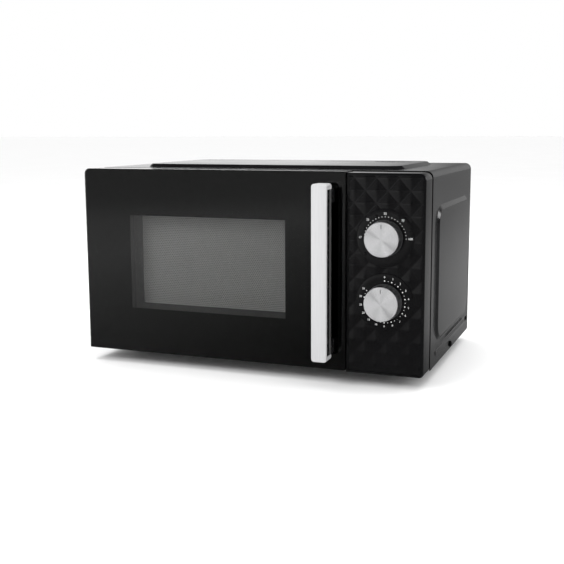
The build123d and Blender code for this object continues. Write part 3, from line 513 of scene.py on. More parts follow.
def plastic(name, colour, roughness=0.45, grain=1200):
    """Moulded plastic with a light spark-eroded grain."""
    material, tree, shader, place = begin_finish(name, colour, roughness)
    mottle(tree, shader, noise(tree, place, 70), colour, 0.08)
    patch_roughness(tree, shader, noise(tree, place, 120, 4), roughness - 0.06, roughness + 0.06)
    relief(tree, shader, noise(tree, place, grain, 2), 0.05 * MM, 0.35)
    return material


def metal(name, colour, roughness=0.35, stretch=(1, 1, 1), scale=400):
    """Bare or plated metal, with rolling marks where it is stretched."""
    material, tree, shader, place = begin_finish(name, colour, roughness, 1.0)
    grain = noise(tree, stretched(tree, place, stretch), scale, 4)
    mottle(tree, shader, noise(tree, place, 35), colour, 0.12)
    patch_roughness(tree, shader, grain, roughness - 0.08, roughness + 0.1)
    relief(tree, shader, grain, 0.02 * MM, 0.3)
    return material


def banded(name, colour, second, scale, direction="Z", metallic=0.0, roughness=0.4):
    """Fine parallel bands: stacked laminations or wound wire."""
    material, tree, shader, place = begin_finish(name, colour, roughness, metallic)
    bands = tree.nodes.new("ShaderNodeTexWave")
    bands.bands_direction = direction
    bands.inputs["Scale"].default_value = scale
    bands.inputs["Distortion"].default_value = 0.4
    tree.links.new(place, bands.inputs["Vector"])
    tree.links.new(blend_colour(tree, bands.outputs["Fac"], second, colour), shader.inputs["Base Color"])
    relief(tree, shader, bands.outputs["Fac"], 0.2 * MM, 0.6)
    return material


def rubber():
    """Dull black rubber with dust in its pores."""
    material, tree, shader, place = begin_finish("rubber", (0.018, 0.018, 0.018), 0.75)
    mottle(tree, shader, noise(tree, place, 200, 5), (0.02, 0.02, 0.02), 0.4)
    relief(tree, shader, noise(tree, place, 1400, 3), 0.08 * MM, 0.6)
    return material


def clear_glass(name, colour, roughness=0.03, ior=1.5):
    """Clear glass with faint surface waviness."""
    material, tree, shader, place = begin_finish(name, colour, roughness, Transmission_Weight=1.0, IOR=ior)
    relief(tree, shader, noise(tree, place, 60, 2), 0.1 * MM, 0.15)
    patch_roughness(tree, shader, noise(tree, place, 45, 4), roughness * 0.6, roughness * 1.6)
    return material


def mica():
    """Pressed mica sheet, flecked brown."""
    material, tree, shader, place = begin_finish("mica", (0.5, 0.4, 0.28), 0.4)
    flecks = noise(tree, stretched(tree, place, (1, 0.4, 1)), 500, 5)
    tree.links.new(blend_colour(tree, spread(tree, flecks, 0, 1), (0.34, 0.26, 0.17), (0.62, 0.52, 0.38)),
                   shader.inputs["Base Color"])
    relief(tree, shader, flecks, 0.05 * MM, 0.3)
    return material


def frame_finishes():
    """Material and nodes for every part of the frame that shows as it is."""
    zinc = metal("zinc_steel", (0.55, 0.56, 0.57), 0.38, (1, 1, 8), 300)
    black = plastic("black_plastic", (0.014, 0.014, 0.015))
    white = plastic("white_plastic", (0.72, 0.71, 0.67), 0.4)
    beige = plastic("beige_plastic", (0.62, 0.55, 0.42), 0.4)
    return (
        (gloss_moulding("door_moulding"), ("door_frame",)),
        (plastic("core_plastic", (0.010, 0.010, 0.011), 0.25), ("handle_core",)),
        (front_glass(), ("door_glass",)),
        (printed_border(), ("door_mask",)),
        (enamel(), ("cavity_liner", "cavity_floor")),
        # A near-black copy of the cavity enamel on the front plate: painted shade, so the gap beside the
        # panel reads dark.
        (enamel("front_enamel_painted_shade", 0.05), ("front_plate",)),
        # A dark copy of the cavity enamel on the door plate: painted shade in the window's recess round the
        # screen.
        (enamel("door_enamel_painted_shade", 0.12), ("door_plate",)),
        (zinc, ("back_plate", "base_plate", "hinge_brackets", "waveguide", "magnetron_yoke",
                "magnetron_filter_box", "capacitor_clamp", "turntable_motor", "power_shaft", "timer_shaft")),
        (metal("screw_steel", (0.5, 0.5, 0.52), 0.25), ("handle_screws", "latch_spring")),
        (rubber(), ("feet",)),
        (black, ("rear_spacers", "fan_shroud", "microswitches", "thermostats", "cord_gland", "choke_cover",
                 "hv_diode")),
        (white, ("timer_body", "interlock_bracket", "lamp_holder", "latch_hook", "fan_blade",
                 "switch_plunger_lower", "switch_plunger_upper")),
        (beige, ("turntable_coupler", "roller_ring", "roller_a", "roller_b", "roller_c")),
        (mica(), ("waveguide_cover",)),
        (metal("fin_aluminium", (0.8, 0.8, 0.8), 0.3), ("magnetron_fins",)),
        (metal("capacitor_can", (0.62, 0.62, 0.63), 0.3, (6, 6, 1)), ("hv_capacitor",)),
        (plastic("ferrite", (0.05, 0.05, 0.055), 0.6, 2000), ("magnetron_magnets",)),
        (banded("laminations", (0.2, 0.2, 0.21), (0.08, 0.08, 0.08), 300, "Y", 0.8),
         ("transformer_core", "fan_motor")),
        (banded("copper_winding", (0.5, 0.2, 0.08), (0.25, 0.09, 0.03), 260, "Z", 0.8, 0.3),
         ("transformer_windings",)),
        (plastic("board_green", (0.03, 0.16, 0.07), 0.35), ("noise_filter_board",)),
        (clear_glass("bulb_glass", (0.97, 0.96, 0.92)), ("lamp_bulb",)),
        (clear_glass("inner_film", (0.93, 0.94, 0.94), 0.08), ("door_inner_film",)),
        (clear_glass("tray_glass", (0.9, 0.95, 0.93)), ("glass_tray",)),
    )


class OVEN_OT_frame_finishes(bpy.types.Operator):
    """Paints the parts that show as they were made"""
    bl_idname = "oven.frame_finishes"
    bl_label = "Frame finishes"

    def execute(self, context):
        for material, nodes in frame_finishes():
            for node in nodes:
                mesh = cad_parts[node].data
                mesh.materials.clear()
                mesh.materials.append(material)
        return {"FINISHED"}


# ---------------------------------------------------------------- outer case
CASE_SHEET = 0.8 * MM
CASE_CORNER = 8.0 * MM
CASE_FLANGE = 10.0 * MM
CASE_WALL_X = PANEL_BOX[1].x
CASE_TOP_Z = GLASS_BOX[1].z
CORNER_LIFT = 0.03 * MM      # lift that lets a pad's four corners be rounded
FLAT = 0.9995                # how square to an axis a wall's normal is, and a bent corner's is not
BEAD_LINE_Z = 40.0 * MM      # a cut between the side's pad and the bead under it
FIRST_INSET = 2 * MM         # border left round a face before it becomes a pad
# A depth is in millimetres behind the front of the door. A press is (rise, run).
SIDE_PAD_DEPTH = 164
SIDE_PAD_Z = 126.5 * MM
SIDE_PAD_SPANS = (206 * MM, 167 * MM)
SIDE_PAD_CORNER = 23 * MM
SIDE_PAD_PRESS = (2.95 * MM, 6 * MM)
BEAD_DEPTH = 163.5
BEAD_Z = 30.0 * MM
BEAD_SPANS = (199 * MM, 8 * MM)
BEAD_CORNER = 3.6 * MM
BEAD_PRESS = (0.9 * MM, 2.4 * MM)
TOP_PAD_X = 2 * MM
TOP_PAD_DEPTH = 159
TOP_PAD_SPANS = (353 * MM, 187 * MM)
TOP_PAD_CORNER = 22 * MM
TOP_PAD_PRESS = (3.95 * MM, 5.4 * MM)


def from_face(d):
    """The Y of a place d millimetres behind the front of the door."""
    return FACE_Y + d * MM


def on_wall(obj, centre, spans, start_centre, start_spans, axes, corner, segments=12):
    """Insets the chosen wall face, takes the new face to its own rectangle and rounds its corners."""
    bpy.ops.mesh.inset(thickness=FIRST_INSET, depth=0)
    ratio = [1.0, 1.0, 1.0]
    for axis, span, start in zip(axes, spans, start_spans):
        ratio[axis] = span / (start - 2 * FIRST_INSET)
    scale_about(start_centre, ratio)
    bpy.ops.transform.translate(value=tuple(Vector(centre) - Vector(start_centre)))
    out = 3 - axes[0] - axes[1]
    lift = [0.0, 0.0, 0.0]
    lift[out] = math.copysign(CORNER_LIFT, centre[out])
    bpy.ops.mesh.extrude_region_move(TRANSFORM_OT_translate={"value": tuple(lift)})
    reach = [span / 2 + 0.5 * MM for span in spans]

    def on_corner(at, way):
        off = [abs(at[axis] - centre[axis]) for axis in axes]
        near_wall = abs(at[out] - centre[out]) < 2 * CORNER_LIFT
        return abs(way[out]) > 0.9 and near_wall and off[0] < reach[0] and off[1] < reach[1]

    choose(obj, "EDGE", on_corner)
    bpy.ops.mesh.bevel(offset=corner, segments=segments, affect="EDGES")
    choose(obj, "FACE", lambda at, normal: (at - Vector(centre)).length < 6 * MM)


# Profile of a pressed step as (share of the run, share of the rise): a fillet, a straight wall, a fillet.
PRESSED_STEP = ((0.1, 0.02), (0.08, 0.1), (0.64, 0.76), (0.08, 0.1), (0.1, 0.02))


def press(rise, run):
    """Raises the chosen face by one pressed step."""
    for run_share, rise_share in PRESSED_STEP:
        bpy.ops.mesh.inset(thickness=run * run_share, depth=rise * rise_share)


def case_walls():
    """Three walls of pressed sheet with a pad in each and a bead low on the sides."""
    front, rear = CASE_BOX[0].y, CASE_BOX[1].y
    shell = block("case_skin", (-CASE_WALL_X, front, FOOT_Z), (CASE_WALL_X, rear, CASE_TOP_Z))
    edit(shell)
    choose(shell, "FACE", lambda at, normal: abs(normal.y) > 0.9 or normal.z < -0.9)
    bpy.ops.mesh.delete(type="FACE")
    choose(shell, "EDGE", lambda at, way: abs(way.y) > 0.9 and at.z > CASE_TOP_Z - 0.1 * MM)
    bpy.ops.mesh.bevel(offset=CASE_CORNER, segments=8, affect="EDGES")
    cut((0, 0, BEAD_LINE_Z), (0, 0, 1))
    middle = (front + rear) / 2
    depth = rear - front
    wall_top = CASE_TOP_Z - CASE_CORNER
    for side in (-1, 1):
        wall = side * CASE_WALL_X
        pad = Vector((wall, from_face(SIDE_PAD_DEPTH), SIDE_PAD_Z))
        bead = Vector((wall, from_face(BEAD_DEPTH), BEAD_Z))
        choose(shell, "FACE", lambda at, normal: normal.x * side > FLAT and at.z > BEAD_LINE_Z)
        on_wall(shell, pad, SIDE_PAD_SPANS, (wall, middle, (wall_top + BEAD_LINE_Z) / 2),
                (depth, wall_top - BEAD_LINE_Z), (1, 2), SIDE_PAD_CORNER)
        press(*SIDE_PAD_PRESS)
        choose(shell, "FACE", lambda at, normal: normal.x * side > FLAT and at.z < BEAD_LINE_Z)
        on_wall(shell, bead, BEAD_SPANS, (wall, middle, (FOOT_Z + BEAD_LINE_Z) / 2),
                (depth, BEAD_LINE_Z - FOOT_Z), (1, 2), BEAD_CORNER, 6)
        press(*BEAD_PRESS)
    choose(shell, "FACE", lambda at, normal: normal.z > FLAT)
    on_wall(shell, (TOP_PAD_X, from_face(TOP_PAD_DEPTH), CASE_TOP_Z), TOP_PAD_SPANS, (0, middle, CASE_TOP_Z),
            (2 * (CASE_WALL_X - CASE_CORNER), depth), (0, 1), TOP_PAD_CORNER)
    press(*TOP_PAD_PRESS)
    choose(shell, "EDGE", lambda at, way: at.y > rear - 0.1 * MM)
    push((0, 0, 0))
    tall = CASE_TOP_Z - FOOT_Z
    inner = ((CASE_WALL_X - CASE_FLANGE) / CASE_WALL_X, 1, (tall - CASE_FLANGE) / tall)
    scale_about((0, rear, FOOT_Z), inner)
    leave()
    weld(shell)
    face_out(shell)
    take(shell)
    wall = shell.modifiers.new("sheet", "SOLIDIFY")
    wall.thickness = CASE_SHEET
    wall.offset = -1
    bpy.ops.object.modifier_apply(modifier=wall.name)
    return shell


TOP_VENTS = 7
TOP_VENT_PITCH = 7.2 * MM
TOP_VENT_LONGEST = 20 * MM
TOP_VENT_HALF = 2.8 * MM     # half the width of one slot
TOP_VENT_X = 132 * MM
TOP_VENT_DEPTH = 206
LEFT_VENT_ROWS = 6
LEFT_VENT_PITCH = 8 * MM
LEFT_VENT_DEPTHS = (190, 236)
LEFT_VENT_Z = (150 * MM, 153 * MM)
NOTCH_DEPTHS = (266, 283)
NOTCH_Z = (30 * MM, 36 * MM)


def case_cutters():
    """All the openings as one tool: an oval of vents on top, a row at the left, a notch at the right."""
    cutters = []
    for column in range(TOP_VENTS):
        place = column - (TOP_VENTS - 1) / 2
        half = TOP_VENT_LONGEST / 2 * math.sqrt(1 - (2 * place / (TOP_VENTS + 1)) ** 2)
        x = TOP_VENT_X + place * TOP_VENT_PITCH
        y = from_face(TOP_VENT_DEPTH)
        slot = block("top_slot", (x - TOP_VENT_HALF, y - half, CASE_TOP_Z - 8 * MM),
                     (x + TOP_VENT_HALF, y + half, CASE_TOP_Z + 12 * MM))
        cutters.append(slot)
    left = block("left_slots", (-CASE_WALL_X - 8 * MM, from_face(LEFT_VENT_DEPTHS[0]), LEFT_VENT_Z[0]),
                 (-CASE_WALL_X + 8 * MM, from_face(LEFT_VENT_DEPTHS[1]), LEFT_VENT_Z[1]))
    repeat(left, LEFT_VENT_ROWS, (0, 0, LEFT_VENT_PITCH))
    notch = block("notch", (CASE_WALL_X - 4 * MM, from_face(NOTCH_DEPTHS[0]), NOTCH_Z[0]),
                  (CASE_WALL_X + 4 * MM, from_face(NOTCH_DEPTHS[1]), NOTCH_Z[1]))
    return join("case_cutters", cutters + [left, notch])


def case_skin():
    """The finished sheet of the case, with its openings."""
    shell = case_walls()
    cut_away(shell, case_cutters())
    smooth(shell, 28)
    return shell


SIDE_SCREW = (4.0 * MM, 2.6 * MM)    # radius and how far it stands out
SIDE_SCREW_DEPTH = 161
SIDE_SCREW_Z = 21 * MM
REAR_SCREW = (3.6 * MM, 2.2 * MM)
REAR_SCREW_X = 217.5         # the two columns of rear screws, in millimetres
REAR_SCREW_ROWS = (60, 200)
REAR_TOP_SCREWS = ((-120, 246.5), (120, 246.5))


def screw_head(name, centre, radius, proud):
    """Domed head with a cross recess, facing the user."""
    head = turned(name, centre, (
        (radius - 0.2 * MM, 0.0),
        (radius, 0.25 * MM),
        (radius, 0.4 * proud),
        (radius * 0.93, 0.62 * proud),
        (radius * 0.78, 0.82 * proud),
        (radius * 0.52, 0.95 * proud),
        (radius * 0.2, proud),
    ), 32)
    arm, half = radius * 0.5, radius * 0.12
    bars = []
    for reach_x, reach_z in ((arm, half), (half, arm)):
        bars.append(block("recess", centre + Vector((-reach_x, -2 * proud, -reach_z)),
                          centre + Vector((reach_x, -0.5 * proud, reach_z))))
    for bar in bars:
        cut_away(head, bar)
    smooth(head, 40)
    return head


def case_screw_heads():
    """Two large screws low on the sides and six at the back."""
    heads = []
    for side in (-1, 1):
        head = screw_head("side_screw", Vector((0, 0, 0)), *SIDE_SCREW)
        head.rotation_euler = (0, 0, side * math.pi / 2)
        head.location = (side * CASE_WALL_X, from_face(SIDE_SCREW_DEPTH), SIDE_SCREW_Z)
        heads.append(settle(head))
    rear = CASE_BOX[1].y
    columns = [(x, z) for x in (-REAR_SCREW_X, REAR_SCREW_X) for z in REAR_SCREW_ROWS]
    for x, z in (*columns, *REAR_TOP_SCREWS):
        head = screw_head("rear_screw", Vector((0, 0, 0)), *REAR_SCREW)
        head.rotation_euler = (0, 0, math.pi)
        head.location = (x * MM, rear, z * MM)
        heads.append(settle(head))
    return join("case_screw_heads", heads)


class OVEN_OT_case_skin(bpy.types.Operator):
    """Presses the outer case with its pads, beads and vents, and puts in its screws"""
    bl_idname = "oven.case_skin"
    bl_label = "Outer case"

    def execute(self, context):
        wear(case_skin(), case_paint(), "oven", "case_paint", "outer_case")
        black = metal("blackened_steel", (0.02, 0.02, 0.02), 0.35)
        wear(case_screw_heads(), black, "oven", "blackened_steel", "case_screws")
        return {"FINISHED"}


# ---------------------------------------------------------------- control panel
PANEL_EDGE = 2.6 * MM        # rounded rim round the quilted field
PANEL_CORNERS = (8.0 * MM, 5.0 * MM)
QUILT_VALLEY = 1.5 * MM      # depth of the field behind the panel's front
DISC_RADIUS = 34.0 * MM
DISC_FACE = -0.45 * MM
PANEL_REAR = 32.4            # depth of the moulding's back edge, in millimetres


def panel_shell():
    """Moulded tray of the panel: rounded corners and rim, open at the back."""
    low, high = Vector(PANEL_BOX[0]), Vector(PANEL_BOX[1])
    low.y = FACE_Y + 0.3 * MM
    high.y = from_face(PANEL_REAR)
    shell = block("panel_shell", low, high)
    edit(shell)
    choose(shell, "FACE", lambda at, normal: normal.y > 0.9)
    bpy.ops.mesh.delete(type="FACE")
    for corner_z, radius in zip((high.z, low.z), PANEL_CORNERS):
        choose(shell, "EDGE", lambda at, way: (
            abs(way.y) > 0.9 and at.x > high.x - MM and abs(at.z - corner_z) < MM))
        bpy.ops.mesh.bevel(offset=radius, segments=8, affect="EDGES")
    choose(shell, "EDGE", lambda at, way: at.y < low.y + 0.01 * MM)
    bpy.ops.mesh.bevel(offset=PANEL_EDGE, segments=5, affect="EDGES")
    choose(shell, "FACE", lambda at, normal: normal.y < -0.999)
    bpy.ops.mesh.inset(thickness=0.2 * MM, depth=0)
    push((0, QUILT_VALLEY, 0))
    leave()
    smooth(shell, 40)
    return shell


# Profile of a diamond from its border to its crown as (share of the reach, share of the rise).
QUILT_PROFILE = ((0.1, 0.05), (0.7, 0.81), (0.14, 0.14))
QUILT_RIDGE = 0.2            # the ridges are rounded above this share of the rise


def quilt_pillow(width, height, rise):
    """One diamond of four near-flat facets with rounded ridges."""
    clear_selection()
    bpy.ops.mesh.primitive_circle_add(vertices=4, radius=1, fill_type="NGON", location=(0, 0, 0))
    pillow = named("quilt")
    pillow.scale = (width / 2, height / 2, 1)
    settle(pillow)
    edit(pillow)
    bpy.ops.mesh.select_all(action="SELECT")
    reach = width * height / math.hypot(width, height) / 2
    for reach_share, rise_share in QUILT_PROFILE:
        bpy.ops.mesh.inset(thickness=reach * reach_share, depth=rise * rise_share)
    choose(pillow, "EDGE", lambda at, way: max(abs(way.x), abs(way.y)) > 0.9 and at.z > QUILT_RIDGE * rise)
    bpy.ops.mesh.bevel(offset=1.1 * MM, segments=3, affect="EDGES")
    leave()
    pillow.rotation_euler = (math.pi / 2, 0, 0)
    return settle(pillow)


def quilt_field():
    """The whole relief: two staggered sets of diamonds, trimmed to the panel's rim."""
    set_up = sizes()
    width, height = set_up.quilt_width, set_up.quilt_height
    valley_y = FACE_Y + QUILT_VALLEY
    start = Vector((PANEL_BOX[0].x + 9.5 * MM, valley_y, FOOT_Z + 201 * MM + height / 2 - 8 * height))
    field = quilt_pillow(width, height, set_up.quilt_relief)
    field.location = start - Vector((width, 0, 0))
    settle(field)
    repeat(field, 6, (width, 0, 0))
    repeat(field, 11, (0, 0, height))
    staggered = copy_of(field, "quilt_stagger", (width / 2, 0, height / 2))
    field = join("quilt_field", [field, staggered])
    weld(field)
    rim = PANEL_EDGE + 0.2 * MM
    low = PANEL_BOX[0] + Vector((rim, 0, rim))
    high = PANEL_BOX[1] - Vector((rim, 0, rim))
    edit(field)
    for at, normal in ((low, (-1, 0, 0)), (low, (0, 0, -1)), (high, (1, 0, 0)), (high, (0, 0, 1))):
        cut(at, normal, clear=True)
    for corner_z, radius, sign in ((high.z, PANEL_CORNERS[0], 1), (low.z, PANEL_CORNERS[1], -1)):
        inner = radius - rim
        middle = Vector((high.x - inner, 0, corner_z - sign * inner))
        for step in range(1, 6):
            angle = math.radians(15 * step)
            normal = Vector((math.cos(angle), 0, sign * math.sin(angle)))
            cut(middle + normal * inner, normal, clear=True)
    bpy.ops.mesh.select_all(action="DESELECT")
    bpy.ops.mesh.select_mode(type="EDGE")
    bpy.ops.mesh.select_non_manifold()
    push((0, 0.4 * MM, 0))
    leave()
    face_out(field)
    smooth(field, 25)
    return field


def dial_centre(node):
    low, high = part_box(node)
    return Vector(((low.x + high.x) / 2, FACE_Y, (low.z + high.z) / 2))


def dial_disc(name, centre):
    """Flat land round a knob, a hair under the crowns of the quilt."""
    disc = turned(name, centre, (
        (DISC_RADIUS, -QUILT_VALLEY),
        (DISC_RADIUS, -0.9 * MM),
        (DISC_RADIUS - 0.4 * MM, -0.55 * MM),
        (DISC_RADIUS - 0.9 * MM, DISC_FACE),
        (DISC_RADIUS - 6 * MM, DISC_FACE),
        (6.5 * MM, DISC_FACE),
        (6.3 * MM, -3 * MM),
    ), 128)
    smooth(disc, 30)
    return disc


class OVEN_OT_control_panel(bpy.types.Operator):
    """Builds the quilted control panel"""
    bl_idname = "oven.control_panel"
    bl_label = "Control panel"

    def execute(self, context):
        # The panel's gloss black is a darker copy of the door's (gain 0.35): painted shade.
        moulding = gloss_moulding("panel_moulding_painted_shade", (0.14, 0.2), 0.35)
        wear(panel_shell(), moulding, "oven", "panel_black", "control_panel")
        wear(quilt_field(), moulding, "oven", "panel_black")
        for dial in ("power", "timer"):
            wear(dial_disc(f"{dial}_disc", dial_centre(f"{dial}_knob")), moulding, "oven", "panel_black")
        return {"FINISHED"}


# ---------------------------------------------------------------- dials
PRINT_OUT = -0.39 * MM       # face of the print, a hair in front of the disc
PRINT_THICK = 0.05 * MM
POWER_LABELS = ("17", "33", "55", "77", "100")
TIMER_LABELS = ("0", "1", "2", "3", "4", "5", "6", "7", "8", "9", "10", "15", "20", "25", "30", "35")
TIMER_STEP = 20.0            # degrees between two numbers
POWER_STEP = 45
POWER_DOTS = 21
POWER_START = -90
DOT_RING = 24.6 * MM


def on_dial(centre, radius, degrees):
    """Point on the print's face, at an angle clockwise from the top."""
    angle = math.radians(degrees)
    return centre + FRONT * PRINT_OUT + Vector((math.sin(angle) * radius, 0, math.cos(angle) * radius))


def dot(at, radius):
    clear_selection()
    bpy.ops.mesh.primitive_circle_add(
        vertices=12, radius=radius, fill_type="NGON", location=at, rotation=(math.pi / 2, 0, 0))
    mark = settle(named("dot"))
    edit(mark)
    bpy.ops.mesh.select_all(action="SELECT")
    push((0, PRINT_THICK, 0))
    leave()
    return mark


def label(words, at, height):
    """Number made of a font's outline, as a thin mesh facing the user."""
    clear_selection()
    bpy.ops.object.text_add(location=at, rotation=(math.pi / 2, 0, 0))
    text = bpy.context.active_object
    text.data.body = words
    text.data.align_x = "CENTER"
    text.data.align_y = "CENTER"
    text.data.size = height
    text.data.extrude = PRINT_THICK / 2
    text.data.resolution_u = 3
    take(text)
    bpy.ops.object.convert(target="MESH")
    return settle(named("label"))


def power_scale(centre):
    marks = []
    for step in range(POWER_DOTS):
        degrees = POWER_START - 2 * POWER_START * step / (POWER_DOTS - 1)
        marks.append(dot(on_dial(centre, DOT_RING, degrees), 0.45 * MM))
    for number, words in enumerate(POWER_LABELS):
        degrees = POWER_START + POWER_STEP * number
        radius = (28.2 + 1.4 * abs(math.sin(math.radians(degrees)))) * MM
        marks.append(label(words, on_dial(centre, radius, degrees), 3.6 * MM))
    return join("power_scale", marks)


def timer_scale(centre):
    marks = []
    for number, words in enumerate(TIMER_LABELS):
        degrees = TIMER_STEP * number
        marks.append(dot(on_dial(centre, DOT_RING, degrees), 0.75 * MM))
        marks.append(label(words, on_dial(centre, 28.9 * MM, degrees), 3.3 * MM))
        if number < len(TIMER_LABELS) - 1:
            marks.append(dot(on_dial(centre, DOT_RING, degrees + TIMER_STEP / 2), 0.42 * MM))
    return join("timer_scale", marks)


class OVEN_OT_dial_scales(bpy.types.Operator):
    """Prints the dots and numbers round both knobs"""
    bl_idname = "oven.dial_scales"
    bl_label = "Dial scales"

    def execute(self, context):
        ink = dial_print()
        wear(power_scale(dial_centre("power_knob")), ink, "oven", "panel_black")
        wear(timer_scale(dial_centre("timer_knob")), ink, "oven", "panel_black")
        return {"FINISHED"}


KNOB_RADIUS = 20.3 * MM
POINTER_HALF = 0.45 * MM
POINTER_REACH = (12.6 * MM, 17.6 * MM)
# Turn of the painted sheen's wedges on each knob face.
PAINTED_SHEEN_TURN = {"power": math.radians(-38), "timer": math.radians(-22)}


def knob_parts(dial):
    """Turned sleeve, bright cap and the pointer line of one knob."""
    centre = dial_centre(f"{dial}_knob")
    front = FACE_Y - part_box(f"{dial}_knob_cap")[0].y
    radius = KNOB_RADIUS
    sides = sizes().knob_sides
    body = turned(f"{dial}_knob_body", centre, (
        (radius - 3 * MM, 0.5 * MM),
        (radius + 1.0 * MM, 0.5 * MM),
        (radius + 1.0 * MM, 1.6 * MM),
        (radius + 0.7 * MM, 2.1 * MM),
        (radius + 0.1 * MM, 2.3 * MM),
        (radius - 0.1 * MM, 2.8 * MM),
        (radius - 0.3 * MM, front - 2.6 * MM),
        (radius - 0.5 * MM, front - 1.6 * MM),
        (radius - 1.2 * MM, front - 1.2 * MM),
    ), sides)
    smooth(body, 30)
    cap = turned(f"{dial}_knob_face", centre, (
        (radius - 0.55 * MM, front - 1.7 * MM),
        (radius - 0.35 * MM, front - 1.5 * MM),
        (radius - 0.35 * MM, front - 0.9 * MM),
        (radius - 0.55 * MM, front - 0.55 * MM),
        (radius - 1.25 * MM, front - 0.06 * MM),
        (radius - 1.6 * MM, front),
        (radius - 6 * MM, front - 0.04 * MM),
        (radius - 12 * MM, front - 0.06 * MM),
        (0.6 * MM, front - 0.06 * MM),
    ), sides)
    smooth(cap, 30)
    pointer = block(f"{dial}_pointer",
                    centre + Vector((-POINTER_HALF, -front - 0.10 * MM, POINTER_REACH[0])),
                    centre + Vector((POINTER_HALF, -front + 0.4 * MM, POINTER_REACH[1])))
    soften(pointer, 0.3 * MM, 2)
    smooth(pointer)
    return centre, body, cap, pointer


class OVEN_OT_dial_knobs(bpy.types.Operator):
    """Turns both knobs with their bright faces and pointer lines"""
    bl_idname = "oven.dial_knobs"
    bl_label = "Dial knobs"

    def execute(self, context):
        side = metal("knob_sleeve", (0.42, 0.42, 0.43), 0.3, (1, 8, 1), 500)
        ink = plastic("pointer_ink", (0.06, 0.06, 0.06), 0.5)
        for dial in ("power", "timer"):
            centre, body, cap, pointer = knob_parts(dial)
            wear(body, side, f"{dial}_dial", "black_plastic", f"{dial}_knob")
            painted_sheen = spun_aluminium_with_painted_sheen(f"{dial}_spun_face_painted_sheen", centre, PAINTED_SHEEN_TURN[dial])
            wear(cap, painted_sheen, f"{dial}_dial", "knob_aluminium", f"{dial}_knob_cap")
            wear(pointer, ink, f"{dial}_dial", "black_plastic")
        return {"FINISHED"}


# ---------------------------------------------------------------- door handle
STRAP_FACE = 3.0 * MM        # thickness of the silver strap down the front
STRAP_CAP = 6.5 * MM         # thickness of the strap over each end
REFLECTION_STRIP_DEPTH = 5.6 * MM


def handle_strap():
    """Silver strap: rounded outline, bevelled face, and ends that wrap back over the core."""
    low, high = HANDLE_BOX
    strap = block("handle_strap", low, (high.x, low.y + STRAP_FACE, high.z))
    gap = (low.z + STRAP_CAP, high.z - STRAP_CAP)
    edit(strap)
    for z in gap:
        cut((0, 0, z), (0, 0, 1))
    choose(strap, "FACE", lambda at, normal: normal.y > 0.9 and not gap[0] < at.z < gap[1])
    push((0, high.y - low.y - STRAP_FACE, 0))
    choose(strap, "EDGE", lambda at, way: (
        abs(way.y) > 0.9 and not low.z + 0.1 * MM < at.z < high.z - 0.1 * MM))
    bpy.ops.mesh.bevel(offset=sizes().handle_round, segments=6, affect="EDGES")
    choose(strap, "EDGE", lambda at, way: at.y < low.y + 0.01 * MM)
    bpy.ops.mesh.bevel(offset=1.5 * MM, segments=4, affect="EDGES")
    choose(strap, "FACE", lambda at, normal: abs(normal.x) > 0.99 and not gap[0] < at.z < gap[1])
    bpy.ops.mesh.inset(thickness=0.9 * MM, depth=-0.7 * MM)
    leave()
    weld(strap)
    face_out(strap)
    soften(strap, 0.25 * MM, 2, math.radians(50))
    smooth(strap, 35)
    return strap


def core_reflection_strip(side):
    """Grey strip along the back edge of the core: a painted reflection of the black core's rim."""
    low, high = HANDLE_BOX
    core_low, core_high = CORE_BOX
    edge, wall = (low.x, core_low.x) if side < 0 else (high.x, core_high.x)
    corners = sorted((edge - side * 0.1 * MM, wall - side * 0.3 * MM))
    name = "core_reflection_strip_left" if side < 0 else "core_reflection_strip_right"
    reflection_strip = block(name, (corners[0], high.y - REFLECTION_STRIP_DEPTH, core_low.z + 0.3 * MM),
                 (corners[1], high.y - 0.2 * MM, core_high.z - 0.3 * MM))
    soften(reflection_strip, 0.3 * MM, 3)
    smooth(reflection_strip)
    return reflection_strip


class OVEN_OT_door_handle(bpy.types.Operator):
    """Builds the silver strap of the handle and the grey strips on its core, which are painted reflections
    """
    bl_idname = "oven.door_handle"
    bl_label = "Door handle"

    def execute(self, context):
        wear(handle_strap(), satin_silver(), "door", "handle_silver", "handle_bar")
        # The grey of the core's edge strips is a painted reflection.
        grey = plastic("core_reflection_grey", (0.09, 0.09, 0.09), 0.35)
        for side in (-1, 1):
            wear(core_reflection_strip(side), grey, "door", "black_plastic")
        return {"FINISHED"}


# ---------------------------------------------------------------- window screen
MARGIN_OPENING = (-154 * MM, 76.4 * MM)    # lower left corner of the clear opening
MARGIN_RIM = 4 * MM


def window_screen():
    """Steel sheet with staggered six-sided holes."""
    low, high = SCREEN_BOX
    pitch = sizes().screen_pitch
    row = pitch * math.sqrt(3) / 2
    clear_selection()
    bpy.ops.mesh.primitive_circle_add(vertices=6, radius=pitch / math.sqrt(3), fill_type="NGON")
    cell = settle(named("window_screen"))
    edit(cell)
    bpy.ops.mesh.select_all(action="SELECT")
    bpy.ops.mesh.inset(thickness=pitch * 0.22, depth=0)
    push((0, 0, -0.35 * MM))
    bpy.ops.mesh.delete(type="ONLY_FACE")
    leave()
    cell.rotation_euler = (math.pi / 2, 0, 0)
    cell.location = (low.x + pitch / 2, low.y + 0.05 * MM, low.z + pitch / 2)
    settle(cell)
    columns = int((high.x - low.x) / pitch)
    rows = int((high.z - low.z) / (2 * row))
    staggered = copy_of(cell, "stagger", (pitch / 2, 0, row))
    screen = join("window_screen", [cell, staggered])
    repeat(screen, columns, (pitch, 0, 0))
    repeat(screen, rows, (0, 0, 2 * row))
    weld(screen, 0.02 * MM)
    return screen


